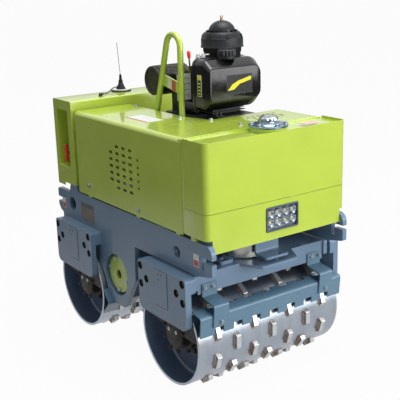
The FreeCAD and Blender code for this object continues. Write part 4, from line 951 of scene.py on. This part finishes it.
def muffler():
    """Silencer can with rolled ends on its stay, under a slotted heat guard."""
    lowest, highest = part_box("muffler")
    y, z = highest.y - 0.077, (lowest.z + highest.z) / 2
    x0, x1 = lowest.x, highest.x
    length = x1 - x0
    place = facing((1, 0, 0), (x0, y, z))
    can = Piece("muffler_can")
    can.turned([(0, 0.006), (0.060, 0.006), (0.064, 0.0), (0.072, 0.001), (0.0755, 0.005), (0.0755, 0.012),
                (0.0735, 0.016), (0.0735, length - 0.016), (0.0755, length - 0.012), (0.0755, length - 0.005),
                (0.072, length - 0.001), (0.064, length), (0.060, length - 0.006), (0, length - 0.006)], place, 72)
    can.block((x1 - 0.080, lowest.y, z - 0.040), (x1 - 0.030, y - 0.030, z + 0.010))
    can.done("root", muffler_black, slot="muffler_black", replaces="muffler", smooth=40)

    guard = Piece("muffler_guard")
    rings, slots = 8, 22
    reach = 0.0768
    start, end = 0.020, length - 0.020
    for ring in range(rings):
        for step in range(slots):
            share = 0.62 if step % 2 == 0 else 1.0
            angle = 2 * math.pi * step / slots
            width = 2 * math.pi / slots * 0.5
            z0 = start + (end - start) * (ring + 0.5 - 0.5 * share) / rings
            z1 = start + (end - start) * (ring + 0.5 + 0.5 * share) / rings
            bar(guard, place, reach, 0.0012, angle - width / 1.2, angle + width / 1.2, z0, z1)
    guard.done("root", muffler_black, slot="muffler_black", smooth=30)


def bar(piece, place, reach, thick, first, last, z0, z1, steps=3):
    """Curved bar on a cylinder about local Z."""
    rings = []
    for step in range(steps + 1):
        angle = first + (last - first) * step / steps
        rings.append([(radius * math.cos(angle), radius * math.sin(angle), z)
                      for radius, z in ((reach - thick, z0), (reach, z0), (reach, z1), (reach - thick, z1))])
    piece.skin(rings, place, turned_over=True)


muffler()


# ---- antenna and handles ----------------------------------------------------

def antenna():
    """Magnetic foot with a pale top and black rim, stepped base and thin whip."""
    lowest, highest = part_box("antenna")
    x, y, z = -0.014, middle("antenna").y, lowest.z
    radius = (highest.y - lowest.y) / 2
    place = shift(x, y, z)
    foot = Piece("antenna_foot")
    foot.turned([(0, 0), (radius, 0), (radius, 0.0065), (radius - 0.002, 0.0085), (radius - 0.0035, 0.0085),
                 (0, 0.0085)], place, 64)
    foot.turned([(0, 0.008), (0.027, 0.008), (0.026, 0.014), (0.020, 0.024), (0.0155, 0.038), (0.0135, 0.042),
                 (0.0125, 0.043), (0.0115, 0.060), (0.0085, 0.061), (0.0060, 0.090), (0.0035, 0.092), (0, 0.093)],
                place, 32)
    foot.rod(Vector(LEAD_ROUTE[0]) - 0.018 * (Vector(LEAD_ROUTE[1]) - Vector(LEAD_ROUTE[0])).normalized(),
             LEAD_ROUTE[0], 0.0045, 20, 0.0012)
    foot.done("root", black_plastic, slot="black_plastic", replaces="antenna", smooth=40)
    plate = Piece("antenna_foot_top")
    plate.ring([(0.0265, 0.0080), (radius - 0.004, 0.0080), (radius - 0.005, 0.0098), (0.0265, 0.0100)], place, 64)
    plate.done("root", plate_white, slot="black_plastic")
    whip = Piece("antenna_whip")
    top = Vector((x - 0.012, y, highest.z - 0.0035))
    whip.rod((x, y, z + 0.088), top, 0.0016, 12)
    whip.turned([(0, -0.003), (0.003, -0.0015), (0.0032, 0.001), (0.002, 0.0032), (0, 0.0035)],
                shift(*top), 14)
    whip.done("root", whip_steel, slot="black_plastic")


antenna()


def lead_gland():
    """Tapered strain relief and the nut through which the lead goes into the rear box."""
    mouth = Vector(LEAD_ROUTE[-1])
    inward = (mouth - Vector(LEAD_ROUTE[-2])).normalized()
    gland = Piece("lead_gland_body")
    place = facing(inward, mouth - 0.004 * inward)
    gland.turned([(0, 0.0), (0.0036, 0.0), (0.0044, 0.006), (0.0062, 0.020), (0.0068, 0.022), (0.0074, 0.023),
                  (0.0074, 0.036), (0.0066, 0.0375), (0, 0.0375)], place, 24)
    foot = mouth + inward * 0.034
    base = low("lead_gland").z
    gland.turned([(0, 0), (0.010, 0), (0.010, 0.002), (0.0085, 0.003), (0.0082, 0.012), (0.0065, 0.0145), (0, 0.0145)],
                 shift(foot.x, foot.y, base), 24)
    gland.done("root", black_plastic, slot="black_plastic", replaces="lead_gland", smooth=40)


lead_gland()


def stop_handles():
    """Red T handles with domed grips in the rear box's pockets."""
    lowest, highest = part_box("stop_handles")
    _, y, z = middle("stop_handles")
    grip = 0.010
    handles = Piece("stop_handle_grips")
    stems = Piece("stop_handle_collars")
    for side in SIDES:
        x = side * (highest.x - grip)
        length = highest.z - lowest.z
        profile = [(0, 0), (0.006, 0.001), (0.0095, 0.005), (grip, 0.010), (0.0092, 0.035), (0.0088, length / 2),
                   (0.0092, length - 0.035), (grip, length - 0.010), (0.0095, length - 0.005), (0.006, length - 0.001),
                   (0, length)]
        handles.turned(profile, shift(x, y, lowest.z), 28)
        stem = facing((-side, 0, 0), (x, y, z))
        handles.turned([(0, 0), (0.0105, 0), (0.0095, 0.012), (0.0080, 0.030), (0.0080, 0.060), (0, 0.060)], stem, 24)
        stems.turned([(0, 0.052), (0.0125, 0.052), (0.0140, 0.054), (0.0165, 0.062), (0.0165, 0.0735), (0, 0.0735)],
                     stem, 6)
    handles.done("root", red_plastic, slot="handle_red", replaces="stop_handles", smooth=40)
    stems.done("root", black_plastic, slot="black_plastic", bevel=0.0008)


stop_handles()


def throttle():
    """Bent brass-coloured lever with a red knob."""
    lever = Piece("throttle_rod")
    foot, knee, tip = Vector((0.064, -0.090, 1.401)), Vector((-0.040, -0.090, 1.425)), Vector((-0.044, -0.090, 1.490))
    lever.rod(foot, knee, 0.0042, 16)
    lever.rod(knee, tip, 0.0042, 16)
    lever.turned([(0, -0.0055), (0.0048, -0.003), (0.0058, 0), (0.0048, 0.003), (0, 0.0055)],
                 shift(*knee), 16)
    lever.block((-0.048, -0.0935, 1.416), (-0.030, -0.0865, 1.450))
    lever.done("root", brassy, slot="zinc", replaces="throttle_lever", bevel=0.0004)
    knob = Piece("throttle_knob")
    knob.turned([(0, -0.002), (0.0065, -0.002), (0.0078, 0.004), (0.0090, 0.020), (0.0088, 0.029), (0.0065, 0.0325),
                 (0, 0.034)], facing(tip - knee, tip), 24)
    knob.done("root", red_plastic, slot="handle_red", smooth=50)


throttle()


# ---- engine -----------------------------------------------------------------

def engine():
    """Single-cylinder engine: crankcase, finned cylinder, rocker cover, shroud, starter, pipes and elbow."""
    (x0, y0, z0), (x1, y1, z1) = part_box("engine_block")
    inset, crown = 0.012, 1.200
    case = Piece("engine_crankcase")
    case.block((x0 + inset, y0 + inset, z0), (x1 - 0.017, y1 - inset, crown - 0.012))
    case.block((x0, y0, z0), (x1 - 0.005, y1, z0 + 0.024))
    case.block((x0, y0, crown - 0.018), (x1 - 0.005, y1, crown))
    for step in range(7):
        y = y0 + 0.030 + step * (y1 - y0 - 0.060) / 6
        case.block((x0 + 0.002, y - 0.003, z0 + 0.020), (x0 + inset + 0.002, y + 0.003, crown - 0.016))
    for step in range(6):
        x = x0 + 0.030 + step * (x1 - x0 - 0.070) / 5
        case.block((x - 0.003, y0 + 0.002, z0 + 0.020), (x + 0.003, y0 + inset + 0.002, crown - 0.016))
        case.block((x - 0.003, y1 - inset - 0.002, z0 + 0.020), (x + 0.003, y1 - 0.002, crown - 0.016))
    cover = Vector((x0 + 0.013, -0.030, 1.030))
    timing = facing((-1, 0, 0), cover)
    case.turned([(0, -0.002), (0.125, -0.002), (0.125, 0.006), (0.120, 0.010), (0.070, 0.0105), (0.066, 0.0125),
                 (0, 0.0125)], timing, 72)
    case.done("root", engine_black, slot="engine_black", replaces="engine_block", bevel=0.0016)

    bolts = Piece("engine_bolts")
    for at in on_circle(x0 + 0.003, cover, 0.112, around(10)):
        bolts.bolt(at, (-1, 0, 0), 0.004)
    for y in (-0.090, -0.010, 0.070):
        for x in (0.088, 0.242):
            bolts.bolt((x, y, z1 - 0.032), UP, 0.009)
    bolts.done("root", zinc, slot="zinc")

    cylinder = Piece("engine_cylinder")
    head_x, head_y = (0.060, 0.270), (-0.126, 0.110)
    cylinder.block((head_x[0] + 0.020, head_y[0] + 0.020, crown - 0.002),
                   (head_x[1] - 0.020, head_y[1] - 0.020, z1 - 0.034))
    fins = 14
    for step in range(fins):
        z = crown + 0.008 + step * 0.0125
        ease = 0.004 * (step % 2)
        cylinder.block((head_x[0] + ease, head_y[0] + ease, z), (head_x[1] - ease, head_y[1] - ease, z + 0.0035))
    cylinder.block((head_x[0] + 0.004, head_y[0] + 0.004, z1 - 0.052),
                   (head_x[1] - 0.004, head_y[1] - 0.004, z1 - 0.034))
    cylinder.done("root", engine_alloy, slot="engine_black", bevel=0.0008)

    rocker = Piece("engine_rocker_cover")
    rocker.block((0.098, -0.112, z1 - 0.036), (0.232, 0.092, z1 - 0.006))
    rocker.block((0.108, -0.120, z1 - 0.008), (0.222, -0.020, z1))
    rocker.done("root", engine_black, slot="engine_black", bevel=0.006, segments=4)

    shroud = Piece("engine_shroud")
    shroud.block((0.012, 0.054, 1.195), (0.065, y1, 1.390))
    for step in range(7):
        z = 1.225 + step * 0.020
        shroud.block((0.0095, 0.072, z), (0.0145, y1 - 0.018, z + 0.008))
    shroud.done("root", engine_black, slot="engine_black", bevel=0.004, segments=3)

    starter = Piece("engine_starter")
    starter.turned([(0, 0.0), (0.026, 0.0), (0.029, 0.004), (0.029, 0.020), (0.026, 0.024), (0.026, 0.100),
                    (0.023, 0.105), (0.012, 0.107), (0.010, 0.112), (0, 0.112)],
                   facing(FORWARD, (0.022, 0.050, 1.230)), 48)
    starter.done("root", engine_black, slot="engine_black", smooth=40)

    fittings = Piece("engine_fittings")
    for x, y in ((-0.006, -0.112), (0.020, -0.116)):
        fittings.rod((x, y, 1.430), (x, y, 1.508), 0.0085, 18, 0.002)
        fittings.bolt((x, y, 1.486), UP, 0.013)
    fittings.rod((-0.006, -0.112, 1.498), (0.060, -0.112, 1.498), 0.0055, 16, 0.001)
    fittings.block((-0.018, -0.122, 1.420), (0.064, -0.102, 1.436))
    fittings.rod((0.040, -0.112, 1.428), (0.075, -0.100, 1.400), 0.008, 16)
    fittings.done("root", cast_alloy, slot="zinc", bevel=0.0008)

    pipes = Piece("engine_pipes")
    for x in (0.010, 0.034):
        path = [(x, y0 - 0.014, 1.232), (x, y0 - 0.018, 1.214), (x + 0.030, y0 - 0.014, 1.206),
                (x + 0.120, y0 - 0.010, 1.204)]
        for start, end in zip(path, path[1:]):
            pipes.rod(start, end, 0.005, 14)
            pipes.turned([(0, -0.005), (0.0035, -0.0036), (0.005, 0), (0.0035, 0.0036), (0, 0.005)],
                         shift(*end), 14)
        pipes.rod((x, y0 - 0.014, 1.226), (x, y0 - 0.014, 1.242), 0.005, 14)
    pipes.done("root", engine_black, slot="engine_black", smooth=50)

    elbow = Piece("exhaust_elbow")
    spots = [(0.095, 0.108, 1.345), (0.095, 0.128, 1.343), (0.095, 0.150, 1.338)]
    for start, end in zip(spots, spots[1:]):
        elbow.rod(start, end, 0.024, 28, 0.002)
    elbow.block((0.062, 0.104, 1.312), (0.128, 0.112, 1.378))
    elbow.done("root", muffler_black, slot="muffler_black", bevel=0.0012)


def side_sheet():
    """Pale painted sheet beside the cylinder, with thin black strips as painted shade in its pressed lines, and two
    small screws.
    """
    (x0, y0, z0), (x1, y1, z1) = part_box("engine_side_plate")
    sheet = Piece("engine_side_sheet")
    sheet.block((x0, y0, z0), (x1, y1, z1))
    # painted shade: thin black strips stand in for the shade inside the sheet's pressed lines
    for step in range(4):
        z = z0 + 0.024 + step * 0.028
        sheet.block((x0 + 0.008, y0 - 0.0008, z), (x1 - 0.008, y0 + 0.001, z + 0.0022), 1)
    sheet.done("root", plate_white, label_black, slot="plate_white", replaces="engine_side_plate", bevel=0.0006)
    screws = Piece("engine_side_screws")
    for z in (z0 + 0.010, z1 - 0.010):
        screws.bolt((x0 + 0.012, y0, z), FORWARD, 0.006, 0.3)
    screws.done("root", zinc, slot="zinc")


engine()
side_sheet()


# ---- drives, slewing ring and ram -------------------------------------------

DRIVE_FACE = 0.400
DRIVE_BOLT_CIRCLE = 0.080


def drives(name, body, axis):
    """Drive housings with their flange bolts, end caps and two plugged ports each."""
    from_node(name + "_drives", body, drive_black, "drive_black", 0.002)
    bolts = Piece(name + "_drive_bolts")
    fittings = Piece(name + "_drive_fittings")
    caps = Piece(name + "_drive_caps")
    for side in SIDES:
        for at in on_circle(side * DRIVE_FACE, axis, DRIVE_BOLT_CIRCLE, around(8, math.pi / 8)):
            bolts.bolt(at, (side, 0, 0), 0.010)
        place = facing((side, 0, 0), (side * 0.3985, axis.y, axis.z))
        caps.turned([(0, 0), (0.066, 0), (0.066, 0.004), (0.062, 0.007), (0.040, 0.0075), (0.036, 0.011), (0, 0.011)],
                    place, 48)
        for dy, dz in ((-0.030, 0.022), (0.030, 0.022)):
            start = Vector((side * 0.404, axis.y + dy, axis.z + dz))
            fittings.bolt(start, (side, 0, 0), 0.011, washer=False)
    bolts.done(body, rusty_steel, slot="drive_black")
    caps.done(body, drive_black, slot="drive_black", smooth=40)
    fittings.done(body, zinc, slot="zinc")


drives("front", "yoke", FRONT_AXIS)
drives("rear", "root", REAR_AXIS)

for node, body in (("slewing_ring_fixed", "root"), ("slewing_ring_turning", "yoke")):
    from_node(node, body, turned_steel, "machined_steel", 0.0015)
from_node("ram_barrel", "ram_barrel", barrel_paint, "barrel_paint", 0.0015)
from_node("ram_rod", "ram_rod", chrome, "rod_chrome", 0.001)


# ---- blank plates and labels ------------------------------------------------

def labels():
    """Blank generic plates and stickers where the machine carries its markings."""
    plate = Piece("type_plate")
    face = low("side_plate_left").x
    plate.block((face - 0.0012, 0.317, 0.620), (face + 0.001, 0.462, 0.720))
    plate.block((face - 0.0017, 0.322, 0.696), (face, 0.457, 0.716), 1)
    for y in (0.324, 0.455):
        for z in (0.626, 0.690):
            plate.turned([(0, -0.001), (0.003, -0.001), (0.0022, 0.0026), (0, 0.003)],
                         facing((-1, 0, 0), (face, y, z)), 12, 1)
    plate.done("root", plate_brown, lamp_grey, slot="plate_white", bevel=0.0003)
    stickers = Piece("blank_stickers")
    for y, low_z in ((-0.631, 0.650), (0.640, 0.640)):
        stickers.block((face - 0.0005, y, low_z), (face + 0.0005, y + 0.040, low_z + 0.058), 0)
        stickers.block((face - 0.0007, y + 0.003, low_z + 0.003), (face, y + 0.037, low_z + 0.030), 1)
    deck = HOOD_TOP + 0.0005
    stickers.block((-0.300, -0.090, deck - 0.001), (-0.205, 0.110, deck))
    stickers.block((-0.300, -0.090, deck - 0.0008), (-0.292, 0.110, deck + 0.0003), 1)
    top = 1.2112
    stickers.block((0.190, -0.668, top - 0.001), (0.282, -0.618, top + 0.0004), 2)
    brace = low("lifting_bail").x + 0.012
    for y0, y1, material in ((0.038, 0.075, 0), (0.004, 0.038, 1)):
        edge = [(y, 1.316 + 0.224 * y + rise) for y, rise in ((y0, 0.0), (y1, 0.0), (y1, 0.050), (y0, 0.050))]
        stickers.skin([[(x, y, z) for y, z in edge] for x in (brace - 0.0005, brace + 0.0005)],
                      material=material, turned_over=True)
    stickers.done("root", plate_white, sticker_red, sticker_pink, slot="plate_white")


labels()


def deck_slot_shade():
    """Rows of small flat dark marks on the right half of the deck, in front of the engine, painted as the shade inside
    its slots.
    """
    slots = Piece("deck_slot_shade")
    half, reach = 0.0035, 0.0095
    outline = []
    for angle in around(16):
        offset = reach if math.cos(angle) >= 0 else -reach
        outline.append((half * math.cos(angle) + offset, half * math.sin(angle)))
    # painted shade: flat dark marks on the deck stand in for the shade inside open slots
    for row in range(4):
        for column in range(6):
            x = 0.120 + 0.032 * column + 0.016 * (row % 2)
            slots.prism(outline, 0.0010, shift(x, -0.400 + 0.030 * row, HOOD_TOP - 0.0006))
    slots.done("root", rubber, slot="hood_paint")


deck_slot_shade()


# ---- floor and light --------------------------------------------------------

def make_floor():
    """Pale floor: near white to the eye, still with the object's shadow, and greyer far off in reflections."""
    half, white_share = 160, 0.96
    mesh = bpy.data.meshes.new("floor")
    mesh.from_pydata([(-half, -half, 0), (half, -half, 0), (half, half, 0), (-half, half, 0)], [], [(0, 1, 2, 3)])
    made = Recipe("floor_paper", (0.42, 0.42, 0.42), 0.9, specular=0.1)
    ray = made.node("LightPath").outputs
    distance = made.node("VectorMath", {0: made.position}, operation="LENGTH").outputs["Value"]
    reflected = made.math("MULTIPLY", ray["Is Glossy Ray"], made.span(distance, 1.4, 3.6, 0.85, 0.12))
    strength = made.math("ADD", ray["Is Camera Ray"], reflected)
    white = made.node("Emission", {"Color": (1, 1, 1), "Strength": strength}).outputs[0]
    seen = made.math("MAXIMUM", ray["Is Camera Ray"], ray["Is Glossy Ray"])
    blend = {0: made.math("MULTIPLY", seen, white_share), 1: made.shader.outputs[0], 2: white}
    made.put(made.tree.nodes["Material Output"].inputs["Surface"], made.node("MixShader", blend).outputs[0])
    mesh.materials.append(made.material)
    stage = bpy.data.objects.new("floor", mesh)
    scene.collection.objects.link(stage)


def make_world():
    """White to the eye; as light and in reflections it is bright above and dimmer near the horizon."""
    world = bpy.data.worlds.new("studio")
    scene.world = world
    world.use_nodes = True
    world.node_tree.nodes.clear()
    net = Net(world.node_tree)
    ray = net.node("LightPath").outputs
    split = net.node("SeparateXYZ", {0: net.node("TexCoord").outputs["Generated"]})
    height = net.span(split.outputs["Z"], 0.02, 0.26, 0.30, 1.0)
    shown = net.node("Background", {"Color": (1, 1, 1), "Strength": 1.0})
    mirror = net.node("Background", {"Color": (1, 1, 1), "Strength": height})
    soft = net.node("Background", {"Color": (0.94, 0.97, 1.0), "Strength": net.math("MULTIPLY", height, 0.27)})
    unseen = net.node("MixShader", {0: ray["Is Glossy Ray"], 1: soft.outputs[0], 2: mirror.outputs[0]})
    both = net.node("MixShader", {0: ray["Is Camera Ray"], 1: unseen.outputs[0], 2: shown.outputs[0]})
    net.node("OutputWorld", {"Surface": both.outputs[0]})


def make_lamp(name, at, toward, width, height, power):
    data = bpy.data.lights.new(name, "AREA")
    data.shape = "ELLIPSE"
    data.size = width
    data.size_y = height
    data.energy = power
    lamp = bpy.data.objects.new(name, data)
    scene.collection.objects.link(lamp)
    lamp.location = at
    lamp.rotation_mode = "QUATERNION"
    lamp.rotation_quaternion = (Vector(toward) - Vector(at)).to_track_quat("-Z", "Y")


make_floor()
make_world()
make_lamp("key", (2.2, -6.6, 2.1), (0, 0, 0.6), 9.0, 3.9, 430)
make_lamp("top", (0.5, -0.9, 6.5), (0, 0, 0.7), 5.0, 5.0, 400)
scene.view_settings.view_transform = "Standard"
